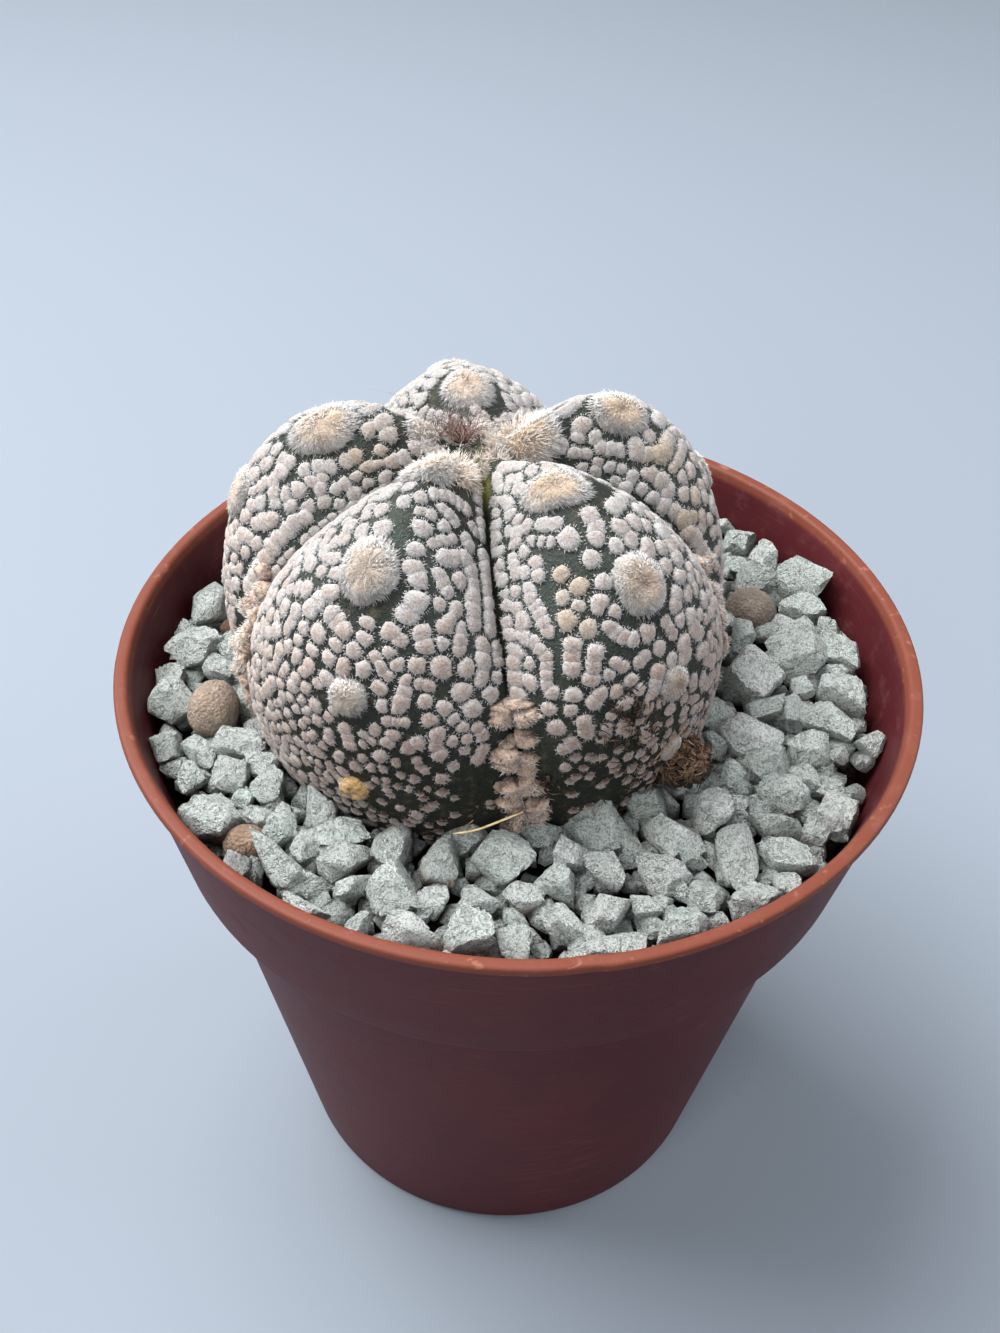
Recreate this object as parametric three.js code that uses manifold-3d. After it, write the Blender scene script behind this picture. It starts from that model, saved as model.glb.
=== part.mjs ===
// A five-ribbed star cactus, densely set with woolly white flecks, in a round plastic nursery pot.
// Millimetres, +Z up. The origin is the centre of the pot's foot, on the surface that it stands on.
// The plant's front faces -Y.

import * as THREE from 'three';
import { ConvexGeometry } from 'three/addons/geometries/ConvexGeometry.js';
import { ConvexHull } from 'three/addons/math/ConvexHull.js';
import { mergeVertices } from 'three/addons/utils/BufferGeometryUtils.js';
import Module from 'manifold-3d';

const wasm = await Module();
wasm.setup();

// Pot
const RIM_RADIUS = 45;
const POT_HEIGHT = 78.6;
const LIP_HEIGHT = 1.9;
const LIP_INNER_RADIUS = 43;
const COLLAR_TOP_RADIUS = 44.3;
const COLLAR_BOTTOM_RADIUS = 40.7;
const COLLAR_HEIGHT = 19.7;
const BODY_TOP_RADIUS = 38.1;
const FOOT_RADIUS = 28.4;
const FOOT_RING_WIDTH = 2.8;
const FOOT_RECESS = 1.6;
const FLOOR_THICKNESS = 1.6;
const WALL = 1.6;
const POT_SIDES = 48;
const DRAIN_HOLES = 6;
const DRAIN_RADIUS = 3;
const DRAIN_CIRCLE = 19;
const DRAIN_SIDES = 8;

// Room left between pieces that touch
const GAP = 0.3;

// Soil and gravel
const SOIL_TOP = 66;
const BED_TOP = 72;
const STONE_LEVEL = 72.6;
const STONE_COUNT = 152;
const STONE_CORNERS = 8;
const GRAVEL_SEED = 20;

// Cactus: where its axis stands, and its ribs with crest and valley directions in degrees.
// Each valley lies anticlockwise of its crest. sink lowers a crest, reach widens it and
// turn is how far the valley winds round from the crown to the soil.
const PLANT_X = -4.6;
const PLANT_Y = 2;
const RIBS = [
  { name: 'front left', crest: -118, valley: -83, turn: 7, sink: 0, reach: 1 },
  { name: 'front right', crest: -43, valley: -3, turn: 0, sink: 0, reach: 1 },
  { name: 'right', crest: 28, valley: 63, turn: 0, sink: 0, reach: 1 },
  { name: 'back', crest: 102, valley: 133, turn: 0, sink: 1.1, reach: 1 },
  { name: 'left', crest: 168, valley: 200, turn: -3, sink: 0, reach: 1.02 },
];

// Crest and valley outlines as radius and height, from the growing point to the root tip.
// A row is a place along them: row 0 is the first point, row 1 the second, and so on.
const CREST_OUTLINE = [
  [0, 102.2], [4, 103.6], [9, 105.6], [14, 105.6], [19.5, 103], [24.5, 97.8], [27.6, 90.5],
  [28.4, 82], [26.8, 73], [21.5, 66], [15, 62.6], [8, 59], [6, 52], [4, 43], [2, 35], [0, 30],
];
const VALLEY_OUTLINE = [
  [0, 102.2], [4, 101], [8.5, 99.6], [13, 97.7], [17.6, 95], [21.8, 90.8], [24.8, 85],
  [26, 78.5], [24.8, 71], [21, 66], [15, 62.6], [8, 59], [6, 52], [4, 43], [2, 35], [0, 30],
];
const GRAVEL_ROW = 8.2;
const ROOT_ROW = 9.6;

// Woolly flecks and areoles
const FLECK_SEED = 7;
const FLECK_PITCH = 3.55;
const VALLEY_FLECK_PITCH = 3.1;
const FLECK_RADIUS = 1.58;
const FLECK_LIFT = 0.8;
const FLECK_CORNERS = 5;
const FLECK_TOP_SHARE = 0.74;
const CROWN_RADIUS = 5;
const AREOLE_CORNERS = 8;
const AREOLE_SHOULDER = 0.72;
const AREOLE_SHOULDER_LIFT = 0.8;

// The band of wool low in each valley: where it starts, its knobs and how far it stands out
const WOOL_ROW = 5.75;
const WOOL_STEP = 0.26;
const WOOL_HALF_WIDTH = 1.7;
const WOOL_KNOB_LIFT = 0.9;
const WOOL_NECK_LIFT = 0.5;

// The woolly pads on each crest: rib, row, half width across the rib, half length along it, height
const AREOLES = [
  ['front left', 1.85, 3.6, 2.4, 1.7],
  ['front left', 4.27, 2.9, 3.5, 1.4],
  ['front left', 5.93, 2.1, 2.1, 1.2],
  ['front left', 7.57, 1.6, 1.7, 0.8],
  ['front right', 2.43, 3.3, 2.5, 1.3],
  ['front right', 4.66, 2.6, 3.2, 1.4],
  ['front right', 6.18, 1.8, 2.1, 1.2],
  ['front right', 7.15, 1.6, 1.7, 0.8],
  ['right', 1.2, 2.7, 2.5, 1.6],
  ['right', 3.52, 2.6, 2.5, 1.3],
  ['right', 5.85, 2.1, 2.1, 1.2],
  ['right', 7.3, 1.6, 1.6, 0.8],
  ['back', 1.84, 2.7, 2.7, 1.4],
  ['back', 4.1, 2.8, 3.2, 1.3],
  ['back', 5.95, 2.2, 2.2, 1.2],
  ['back', 7.35, 1.6, 1.6, 0.8],
  ['left', 1.6, 2.5, 2.2, 1.4],
  ['left', 3.72, 3.2, 3.4, 1.4],
  ['left', 5.79, 2.2, 2.4, 1.3],
  ['left', 7.35, 1.6, 1.7, 0.8],
];

// The stones that stand out in the bed: x, y, size along, size across, turn in degrees
const LEADING_STONES = [
  [-30.3, -24.4, 7.2, 6.4, -10], [-30.5, -13.3, 6.6, 4, -5], [-30, -17.6, 4.2, 4.4, 0],
  [-25.9, -18.8, 4.2, 4, 30], [-22.6, -30.3, 8.4, 3.6, -28], [-16.9, -28.8, 6.2, 3.8, 35],
  [-15.9, -32, 5.2, 2.6, 30], [-17.8, -25.2, 6.2, 4, 12], [-21.6, -26.4, 3.2, 5.4, 0],
  [-25.2, -25.8, 3.6, 4.6, -15], [-20.9, -35, 5, 3, -30], [-12, -26.4, 4.3, 6.2, 5],
  [-11.4, -32.4, 5.8, 6, 0], [-7, -28.8, 5.2, 5.8, 30], [-4.4, -24.6, 4.8, 3.8, 38],
  [-3, -33, 5, 4.4, 10], [-10, -37.6, 6.8, 3.4, -6], [-4, -38, 7, 4.4, 0],
  [-0.6, -27.6, 6.6, 5.6, 15], [2.2, -22.6, 5.4, 3, -14], [8.9, -22.4, 6.6, 7.2, 20],
  [13.6, -18.9, 4.6, 4.8, 40], [16.2, -22.9, 7.6, 5.2, -28], [20.9, -20, 5.6, 5, 0],
  [22.9, -26, 4.8, 8, -12], [15.3, -28, 6, 4.6, -28], [10.3, -28.2, 3.8, 5.2, 24],
  [6.2, -26.8, 3.6, 5.2, -22], [5, -30.4, 4.8, 3.8, -15], [1.2, -32.6, 4.2, 3.6, 35],
  [9.9, -33.6, 5.6, 3.6, 24], [5.4, -35, 4.6, 3.6, -32], [10.2, -37.9, 8.6, 3.4, 12],
  [0.6, -38, 3.6, 4.2, 0], [16.8, -35, 5.8, 4, 22], [13.6, -32.4, 3.4, 2.8, 0],
  [19.7, -31, 4, 4.4, 0], [24.3, -31, 4.4, 5, -30], [28.3, -24.9, 6.6, 4, -12],
  [27.2, -20.8, 7.2, 2.8, -10], [28.9, -17, 6.4, 4.8, 5], [27.4, -12.8, 5.6, 4.8, 40],
  [26.6, -8.8, 7.6, 5.4, -8], [27.6, -4.4, 5.4, 3.2, -12], [32.4, -9.4, 4.6, 5.2, 0],
  [35.6, -5.4, 6.2, 4, -32], [31.2, -3.4, 4.2, 4.2, 20], [34.6, -18.8, 4.4, 6, -30],
  [33, 7, 7.8, 8.6, -22], [27.4, 1.4, 7.2, 6.4, -16], [36.6, 19.4, 7, 7.6, 60],
  [34.4, 15, 5.8, 5, 0], [37.8, 6.2, 4.6, 5, 0], [32.6, -0.2, 3.2, 3, 0],
  [37, -0.6, 6.2, 4.6, -20], [26.6, 8.4, 3, 5.4, 0], [-37.2, 10.6, 5.6, 7, 10],
  [-37.6, 2.6, 7, 5.2, 8], [-37.4, -6.4, 6.2, 5.8, 0], [-37.6, -13.6, 4, 4.4, 0],
  [-34.4, -18.4, 3.4, 3.6, 0],
];

// Bits that lie in the bed: middle and size along x, y and z
const PEBBLES = [
  { name: 'clay_pebble_left', middle: [-33.6, -8.2, 74], size: [6, 7.2, 7], seed: 3 },
  { name: 'clay_pebble_right', middle: [28.2, 14.2, 72.8], size: [6.6, 6.8, 5.6], seed: 4 },
  { name: 'clay_pebble_front', middle: [-27.3, -26.4, 72.6], size: [5, 4.6, 4.4], seed: 5 },
  { name: 'bark_bit', middle: [-33.4, 6.6, 73], size: [5, 3.2, 3.2], seed: 6 },
];
const PEAT_CLUMP = { middle: [20.4, -14.2, 76], size: [6.2, 5.6, 6], crumbs: 10, seed: 11 };
const STRAW_ROUTE = [[-7.4, -26.9, 76.1], [-4.8, -26.8, 76.4], [-2.2, -26.3, 77.1], [0.2, -25.6, 78.2]];
const STRAW_RADIUS = 0.28;
const FLOWER_REMAINS = { middle: [-6.9, 2.2, 105.1], size: [5, 4, 2], curls: 8, seed: 15 };

const COLOURS = {
  pot: 0x7c3a30,
  soil: 0x3a2a20,
  gravel: 0xa9bab0,
  cactus: 0xb9afa0,
  clay: 0x8a6a52,
  peat: 0x4d3424,
  straw: 0xa98a52,
  flower: 0xa0705c,
};

// A repeatable stream of numbers from 0 to 1
function randomStream(seed) {
  let state = seed;
  return () => {
    state = (state + 0x6d2b79f5) >>> 0;
    let mixed = Math.imul(state ^ (state >>> 15), state | 1);
    mixed ^= mixed + Math.imul(mixed ^ (mixed >>> 7), mixed | 61);
    return ((mixed ^ (mixed >>> 14)) >>> 0) / 4294967296;
  };
}

// Closed meshes to solids and back, for joining and cutting
function toSolid(geometry) {
  const bare = geometry.clone();
  bare.deleteAttribute('normal');
  bare.deleteAttribute('uv');
  const merged = mergeVertices(bare, 1e-5);
  return new wasm.Manifold(new wasm.Mesh({
    numProp: 3,
    vertProperties: new Float32Array(merged.attributes.position.array),
    triVerts: new Uint32Array(merged.index.array),
  }));
}

function toGeometry(solid) {
  const mesh = solid.getMesh();
  return indexedGeometry(mesh.vertProperties, mesh.triVerts);
}

function indexedGeometry(positions, triangles) {
  const geometry = new THREE.BufferGeometry();
  geometry.setAttribute('position', new THREE.BufferAttribute(new Float32Array(positions), 3));
  geometry.setIndex(Array.from(triangles));
  geometry.computeVertexNormals();
  return geometry;
}

function joinAll(solids) {
  let row = solids;
  while (row.length > 1) {
    const next = [];
    for (let i = 0; i < row.length; i += 2) {
      next.push(i + 1 < row.length ? row[i].add(row[i + 1]) : row[i]);
    }
    row = next;
  }
  return row[0];
}

function largestBody(solid) {
  const bodies = solid.decompose();
  bodies.sort((a, b) => b.volume() - a.volume());
  return bodies[0];
}

function addMesh(group, name, geometry, colour, roughness) {
  const material = new THREE.MeshStandardMaterial({ color: colour, roughness, metalness: 0 });
  const mesh = new THREE.Mesh(geometry, material);
  mesh.name = name;
  group.add(mesh);
}

// A turned solid about the Z axis from a closed outline of radius and height
function turned(outline, sides) {
  const points = outline.map(([radius, height]) => new THREE.Vector2(radius, height));
  return new THREE.LatheGeometry(points, sides).rotateX(Math.PI / 2);
}

// Pot: a thin moulded cup with a collar, a rolled lip, a foot ring and drain holes
const COLLAR_BOTTOM = POT_HEIGHT - COLLAR_HEIGHT;
const INNER_STEP_LOW = COLLAR_BOTTOM + 0.6 * WALL;
const INNER_STEP_HIGH = COLLAR_BOTTOM + 1.6 * WALL;
const INNER_WALL = [
  [FOOT_RADIUS - WALL, FOOT_RECESS + FLOOR_THICKNESS + 1],
  [BODY_TOP_RADIUS - WALL, INNER_STEP_LOW],
  [COLLAR_BOTTOM_RADIUS - WALL, INNER_STEP_HIGH],
  [LIP_INNER_RADIUS, POT_HEIGHT - LIP_HEIGHT / 3],
];

function innerRadius(height) {
  for (let i = 1; i < INNER_WALL.length; i += 1) {
    const [lowRadius, low] = INNER_WALL[i - 1];
    const [highRadius, high] = INNER_WALL[i];
    if (height <= high) return lowRadius + (highRadius - lowRadius) * (height - low) / (high - low);
  }
  return LIP_INNER_RADIUS;
}

function makePot() {
  const floorTop = FOOT_RECESS + FLOOR_THICKNESS;
  const lipBottom = POT_HEIGHT - LIP_HEIGHT;
  const footInner = FOOT_RADIUS - FOOT_RING_WIDTH;
  const outline = [
    [0, FOOT_RECESS],
    [footInner - 0.6, FOOT_RECESS],
    [footInner, 0],
    [FOOT_RADIUS - 0.7, 0],
    [FOOT_RADIUS, 0.8],
    [BODY_TOP_RADIUS, COLLAR_BOTTOM],
    [COLLAR_BOTTOM_RADIUS - 0.2, COLLAR_BOTTOM],
    [COLLAR_BOTTOM_RADIUS, COLLAR_BOTTOM + 0.4],
    [COLLAR_TOP_RADIUS, lipBottom],
    [RIM_RADIUS, lipBottom + 0.5],
    [RIM_RADIUS, POT_HEIGHT - 0.5],
    [RIM_RADIUS - 0.6, POT_HEIGHT],
    [LIP_INNER_RADIUS + 0.5, POT_HEIGHT],
    ...INNER_WALL.toReversed(),
    [FOOT_RADIUS - WALL - 1.2, floorTop],
    [0, floorTop],
  ];
  const drains = [];
  for (let i = 0; i < DRAIN_HOLES; i += 1) {
    const angle = (i + 0.5) / DRAIN_HOLES * 2 * Math.PI;
    const drain = new THREE.CylinderGeometry(DRAIN_RADIUS, DRAIN_RADIUS, 4 * floorTop, DRAIN_SIDES);
    drain.rotateX(Math.PI / 2);
    drain.translate(DRAIN_CIRCLE * Math.cos(angle), DRAIN_CIRCLE * Math.sin(angle), 0);
    drains.push(toSolid(drain));
  }
  return toGeometry(toSolid(turned(outline, POT_SIDES)).subtract(joinAll(drains)));
}

// Cactus skin as a formula of row and direction
const crestCurve = outlineCurve(CREST_OUTLINE);
const valleyCurve = outlineCurve(VALLEY_OUTLINE);
const LAST_ROW = CREST_OUTLINE.length - 1;

function outlineCurve(outline) {
  const points = outline.map(([radius, height]) => new THREE.Vector3(radius, height, 0));
  return new THREE.CatmullRomCurve3(points, false, 'catmullrom', 0.5);
}

function wrapDegrees(angle) {
  return ((angle + 540) % 360 + 360) % 360 - 180;
}

function valleyDirection(index, row) {
  const rib = RIBS[(index + RIBS.length) % RIBS.length];
  return rib.valley + rib.turn * Math.min(row / GRAVEL_ROW, 1);
}

// The rib under a direction, with share 0 at its crest and 1 at either valley
function ribAt(row, direction) {
  let nearest = { share: Infinity };
  RIBS.forEach((rib, index) => {
    const offset = wrapDegrees(direction - rib.crest);
    const side = offset >= 0 ? valleyDirection(index, row) : valleyDirection(index - 1, row);
    const share = Math.abs(offset / wrapDegrees(side - rib.crest));
    if (share < nearest.share) nearest = { share: Math.min(share, 1), rib };
  });
  return nearest;
}

// The crest sinks by a half sine and stays put at the crown and below the widest row
function bodyPoint(row, radians) {
  const { share, rib } = ribAt(row, THREE.MathUtils.radToDeg(radians));
  const place = THREE.MathUtils.clamp(row / LAST_ROW, 0, 1);
  const crest = crestCurve.getPoint(place);
  const valley = valleyCurve.getPoint(place);
  const swell = Math.sin(Math.PI * THREE.MathUtils.clamp(row / 6.5, 0, 1));
  crest.y -= rib.sink * swell;
  crest.x *= 1 + (rib.reach - 1) * Math.sin(Math.PI * THREE.MathUtils.clamp(row / 9, 0, 1));
  const power = 1.35 + 0.9 * THREE.MathUtils.clamp((row - 1.65) / 4.4, 0, 1);
  const profile = crest.lerp(valley, share ** power);
  const radius = Math.max(profile.x, 0);
  return new THREE.Vector3(
    PLANT_X + radius * Math.cos(radians),
    PLANT_Y + radius * Math.sin(radians),
    profile.y,
  );
}

// How the skin runs at a place: down the rib, round it, and straight out of it
function bodyFrame(row, radians) {
  const nudge = 0.02;
  const down = bodyPoint(row + nudge, radians).sub(bodyPoint(row - nudge, radians));
  down.divideScalar(2 * nudge);
  const round = bodyPoint(row, radians + nudge).sub(bodyPoint(row, radians - nudge));
  round.divideScalar(2 * nudge);
  const out = down.clone().cross(round).normalize();
  return { down, round, out };
}

// A place that lies so many millimetres round and down from another, along the skin
function stepAlong(place, frame, roundwards, downwards) {
  const roundLength = frame.round.length();
  const along = frame.down.dot(frame.round) / roundLength;
  const across = Math.sqrt(Math.max(frame.down.lengthSq() - along * along, 1e-6));
  const rows = downwards / across;
  return {
    row: place.row + rows,
    radians: place.radians + (roundwards - rows * along) / roundLength,
  };
}

// A ring of skin corners round a place, raised straight out of the skin there
function raisedRing(place, corners, halfWidth, halfLength, lift, phase) {
  const frame = bodyFrame(place.row, place.radians);
  const ring = [];
  for (let i = 0; i < corners; i += 1) {
    const angle = phase + i / corners * 2 * Math.PI;
    const corner = stepAlong(
      place, frame, halfWidth * Math.cos(angle), halfLength * Math.sin(angle));
    const position = bodyPoint(corner.row, corner.radians).addScaledVector(frame.out, lift);
    ring.push({ ...corner, position });
  }
  return ring;
}

function skinPoint(row, radians, lift = 0) {
  const position = bodyPoint(row, radians);
  if (lift > 0) position.addScaledVector(bodyFrame(row, radians).out, lift);
  return { row, radians, position };
}

function areolePlaces() {
  return AREOLES.map(([ribName, row, halfWidth, halfLength, height]) => {
    const rib = RIBS.find(({ name }) => name === ribName);
    const radians = THREE.MathUtils.degToRad(rib.crest);
    return { row, radians, halfWidth, halfLength, height, middle: bodyPoint(row, radians) };
  });
}

// Flecks fall at random, each a pitch clear of the others, and closer beside the valleys
function fleckPlaces(areoles) {
  const random = randomStream(FLECK_SEED);
  const flecks = [];
  const tries = 16000;
  for (let i = 0; i < tries; i += 1) {
    const row = 0.9 + random() * (GRAVEL_ROW - 0.9);
    const radians = (random() * 2 - 1) * Math.PI;
    const size = FLECK_RADIUS * (0.86 + 0.2 * random());
    const phase = random() * Math.PI;
    const { share } = ribAt(row, THREE.MathUtils.radToDeg(radians));
    const middle = bodyPoint(row, radians);
    const radius = Math.hypot(middle.x - PLANT_X, middle.y - PLANT_Y);
    const room = (1 - share) * radius * 0.6;
    if (radius < CROWN_RADIUS || room < size + 0.1) continue;
    if (areoles.some((pad) => middle.distanceTo(pad.middle) < pad.halfLength + size + 0.5)) continue;
    const pitch = room < 3.2 ? VALLEY_FLECK_PITCH : FLECK_PITCH;
    if (flecks.some((other) => middle.distanceTo(other.middle) < pitch)) continue;
    flecks.push({ row, radians, size, phase, middle });
  }
  return flecks;
}

// Equal-angle latitude on a sphere for each row, from the sum of path length over radius
function sphereLatitudes() {
  const steps = 600;
  const shares = [];
  let total = 0;
  let equator = 0;
  let widest = 0;
  let last = crestCurve.getPoint(0);
  for (let i = 1; i <= steps; i += 1) {
    const next = crestCurve.getPoint(i / steps).lerp(valleyCurve.getPoint(i / steps), 0.4);
    const radius = Math.max((next.x + last.x) / 2, 0.05);
    total += next.distanceTo(last) / radius;
    if (next.x > widest) {
      widest = next.x;
      equator = total;
    }
    shares.push(total);
    last = next;
  }
  return (row) => {
    const place = THREE.MathUtils.clamp(row / LAST_ROW * steps - 1, 0, steps - 1);
    const low = Math.floor(place);
    const high = Math.min(low + 1, steps - 1);
    const sum = THREE.MathUtils.lerp(shares[low], shares[high], place - low);
    return 2 * Math.atan(Math.exp(sum - equator));
  };
}

// The skin's corners are laid on a sphere, where the convex hull joins each to its neighbours
function closedSkin(corners) {
  const latitude = sphereLatitudes();
  const onSphere = corners.map(({ row, radians }) => {
    const polar = latitude(row);
    return new THREE.Vector3(
      Math.sin(polar) * Math.cos(radians), Math.sin(polar) * Math.sin(radians), Math.cos(polar));
  });
  const numbers = new Map(onSphere.map((point, index) => [point, index]));
  const triangles = [];
  for (const face of new ConvexHull().setFromPoints(onSphere).faces) {
    let edge = face.edge;
    do {
      triangles.push(numbers.get(edge.head().point));
      edge = edge.next;
    } while (edge !== face.edge);
  }
  const positions = corners.flatMap(({ position }) => position.toArray());
  return indexedGeometry(positions, triangles);
}

// The whole plant: skin, flecks, areoles, the wool grown together low in the valleys, and root
function makeCactus() {
  const areoles = areolePlaces();
  const flecks = fleckPlaces(areoles);
  const corners = [skinPoint(0, 0), skinPoint(LAST_ROW, 0)];
  for (const pad of areoles) {
    corners.push(...raisedRing(pad, AREOLE_CORNERS, pad.halfWidth, pad.halfLength, 0, 0));
    corners.push(...raisedRing(
      pad,
      AREOLE_CORNERS,
      pad.halfWidth * AREOLE_SHOULDER,
      pad.halfLength * AREOLE_SHOULDER,
      pad.height * AREOLE_SHOULDER_LIFT,
      0.2,
    ));
    corners.push(skinPoint(pad.row, pad.radians, pad.height));
  }
  for (const fleck of flecks) {
    const topSize = fleck.size * FLECK_TOP_SHARE;
    const { phase } = fleck;
    corners.push(...raisedRing(fleck, FLECK_CORNERS, fleck.size, fleck.size, 0, phase));
    corners.push(...raisedRing(fleck, FLECK_CORNERS, topSize, topSize, FLECK_LIFT, phase));
  }
  const taken = [...areoles.map((pad) => ({ middle: pad.middle, reach: pad.halfLength + 0.6 })),
    ...flecks.map((fleck) => ({ middle: fleck.middle, reach: fleck.size + 0.3 }))];
  const isFree = (point) => taken.every(({ middle, reach }) => middle.distanceTo(point) > reach);
  RIBS.forEach((rib, index) => {
    for (let row = 0.7; row < GRAVEL_ROW; row += 0.3) {
      const valley = THREE.MathUtils.degToRad(valleyDirection(index, row));
      const crest = THREE.MathUtils.degToRad(rib.crest);
      if (row < WOOL_ROW - 0.15) corners.push(skinPoint(row, valley));
      if (isFree(bodyPoint(row, crest))) corners.push(skinPoint(row, crest));
    }
    corners.push(...valleyWool(index));
  });
  for (let row = GRAVEL_ROW + 0.35; row < LAST_ROW - 0.4; row += row < ROOT_ROW ? 0.6 : 1) {
    const sides = row < ROOT_ROW ? 30 : 12;
    for (let i = 0; i < sides; i += 1) {
      corners.push(skinPoint(row, (i + 0.5) / sides * 2 * Math.PI));
    }
  }
  return closedSkin(corners);
}

// Low in each valley the flecks of both flanks have grown into one knobbly band of wool
function valleyWool(index) {
  const corners = [];
  let isKnob = true;
  for (let row = WOOL_ROW; row < GRAVEL_ROW; row += WOOL_STEP) {
    const radians = THREE.MathUtils.degToRad(valleyDirection(index, row));
    const place = { row, radians };
    const frame = bodyFrame(row, radians);
    for (const side of [-1, 1]) {
      const edge = stepAlong(place, frame, side * WOOL_HALF_WIDTH, 0);
      corners.push(skinPoint(edge.row, edge.radians));
    }
    corners.push(skinPoint(row, radians, isKnob ? WOOL_KNOB_LIFT : WOOL_NECK_LIFT));
    isKnob = !isKnob;
  }
  return corners;
}

// The buried and soil-level part of the plant, grown outward by a clearance, as a cutting solid
function plantCutter(firstRow, clearance, sides, rowStep) {
  const rings = [];
  for (let row = firstRow; row < LAST_ROW; row += row < ROOT_ROW + 1 ? rowStep : 1) {
    rings.push(row);
  }
  const positions = [];
  for (const row of rings) {
    for (let i = 0; i < sides; i += 1) {
      const radians = i / sides * 2 * Math.PI;
      const { out } = bodyFrame(row, radians);
      positions.push(...bodyPoint(row, radians).addScaledVector(out, clearance).toArray());
    }
  }
  const top = positions.length / 3;
  positions.push(PLANT_X, PLANT_Y, bodyPoint(firstRow, 0).z + clearance);
  positions.push(PLANT_X, PLANT_Y, bodyPoint(LAST_ROW, 0).z - clearance);
  const triangles = [];
  const lastRing = (rings.length - 1) * sides;
  for (let i = 0; i < sides; i += 1) {
    const next = (i + 1) % sides;
    triangles.push(top, i, next, top + 1, lastRing + next, lastRing + i);
    for (let ring = 0; ring < lastRing; ring += sides) {
      triangles.push(ring + i, ring + sides + i, ring + next);
      triangles.push(ring + next, ring + sides + i, ring + sides + next);
    }
  }
  return toSolid(indexedGeometry(positions, triangles));
}

// A lumpy pebble: a ball of many facets with each corner moved in or out a little
function pebbleGeometry({ middle, size, seed }, grow) {
  const random = randomStream(seed);
  const bare = new THREE.IcosahedronGeometry(1, 1);
  bare.deleteAttribute('normal');
  bare.deleteAttribute('uv');
  const ball = mergeVertices(bare);
  const { position } = ball.attributes;
  for (let i = 0; i < position.count; i += 1) {
    const reach = 0.92 + 0.1 * random();
    position.setXYZ(
      i,
      middle[0] + position.getX(i) * (reach * size[0] / 2 + grow),
      middle[1] + position.getY(i) * (reach * size[1] / 2 + grow),
      middle[2] + position.getZ(i) * (reach * size[2] / 2 + grow),
    );
  }
  ball.computeVertexNormals();
  return ball;
}

// An angular stone: the hull of corners spread over a ball by the golden angle and jittered
function stoneGeometry(stone) {
  const random = randomStream(stone.seed);
  const corners = [];
  for (let i = 0; i < STONE_CORNERS; i += 1) {
    const height = 1 - 2 * (i + 0.5) / STONE_CORNERS;
    const around = i * Math.PI * (3 - Math.sqrt(5)) + 1.1 * random();
    const reach = 0.86 + 0.3 * random();
    const ring = Math.sqrt(1 - height * height) * reach;
    corners.push(new THREE.Vector3(
      ring * Math.cos(around) * stone.along / 2,
      ring * Math.sin(around) * stone.across / 2,
      height * reach * stone.tall / 2,
    ));
  }
  const geometry = new ConvexGeometry(corners);
  geometry.rotateX(stone.pitch);
  geometry.rotateY(stone.roll);
  geometry.rotateZ(stone.turn);
  return geometry.translate(stone.x, stone.y, stone.z);
}

function makeStone(random, x, y, along, across, turn) {
  const mean = Math.sqrt(along * across);
  return {
    x,
    y,
    z: STONE_LEVEL + 0.08 * mean + 0.6 * (random() - 0.5),
    along,
    across,
    tall: mean * (0.8 + 0.25 * random()),
    turn,
    pitch: 0.5 * (random() - 0.5),
    roll: 0.5 * (random() - 0.5),
    seed: Math.floor(random() * 1e6),
  };
}

// The leading stones lie where they are named, and smaller ones fill in between them
function stoneList() {
  const random = randomStream(GRAVEL_SEED);
  const stones = LEADING_STONES.map(([x, y, along, across, turn]) => (
    makeStone(random, x, y, along, across, THREE.MathUtils.degToRad(turn))));
  const widest = innerRadius(STONE_LEVEL);
  for (let tries = 0; tries < 9000 && stones.length < STONE_COUNT; tries += 1) {
    const along = 3.8 + 2.8 * random() ** 2;
    const across = along * (0.7 + 0.28 * random());
    const radius = Math.sqrt(random()) * (widest - 0.36 * along);
    const angle = random() * 2 * Math.PI;
    const turn = random() * Math.PI;
    const x = radius * Math.cos(angle);
    const y = radius * Math.sin(angle);
    const reach = Math.hypot(x - PLANT_X, y - PLANT_Y);
    const plantReach = bodyPoint(GRAVEL_ROW, Math.atan2(y - PLANT_Y, x - PLANT_X));
    const plantRadius = Math.hypot(plantReach.x - PLANT_X, plantReach.y - PLANT_Y);
    if (reach < plantRadius + 0.2 * along) continue;
    const isFar = stones.every((other) => Math.hypot(other.x - x, other.y - y)
      > 0.3 * (other.along + other.across) / 2 + 0.3 * along + 0.25);
    if (isFar) stones.push(makeStone(random, x, y, along, across, turn));
  }
  return stones;
}

// The bed of stones round the plant, joined by the packed layer below them
function makeGravel(plantRoom, bits) {
  const bedBottom = SOIL_TOP + GAP;
  const bedInner = 12;
  const bed = toSolid(turned([
    [bedInner, bedBottom],
    [innerRadius(bedBottom) - GAP, bedBottom],
    [innerRadius(BED_TOP) - GAP, BED_TOP],
    [bedInner, BED_TOP],
    [bedInner, bedBottom],
  ], POT_SIDES));
  const mouth = POT_HEIGHT + 4;
  const cavity = toSolid(turned([
    [0, bedBottom],
    [innerRadius(bedBottom) - GAP, bedBottom],
    [innerRadius(POT_HEIGHT) - GAP, POT_HEIGHT - LIP_HEIGHT / 3],
    [LIP_INNER_RADIUS - GAP, mouth],
    [0, mouth],
  ], POT_SIDES));
  const stones = stoneList().map((stone) => toSolid(stoneGeometry(stone)));
  const pile = bed.add(joinAll(stones));
  return toGeometry(largestBody(pile.intersect(cavity).subtract(joinAll([plantRoom, ...bits]))));
}

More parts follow.
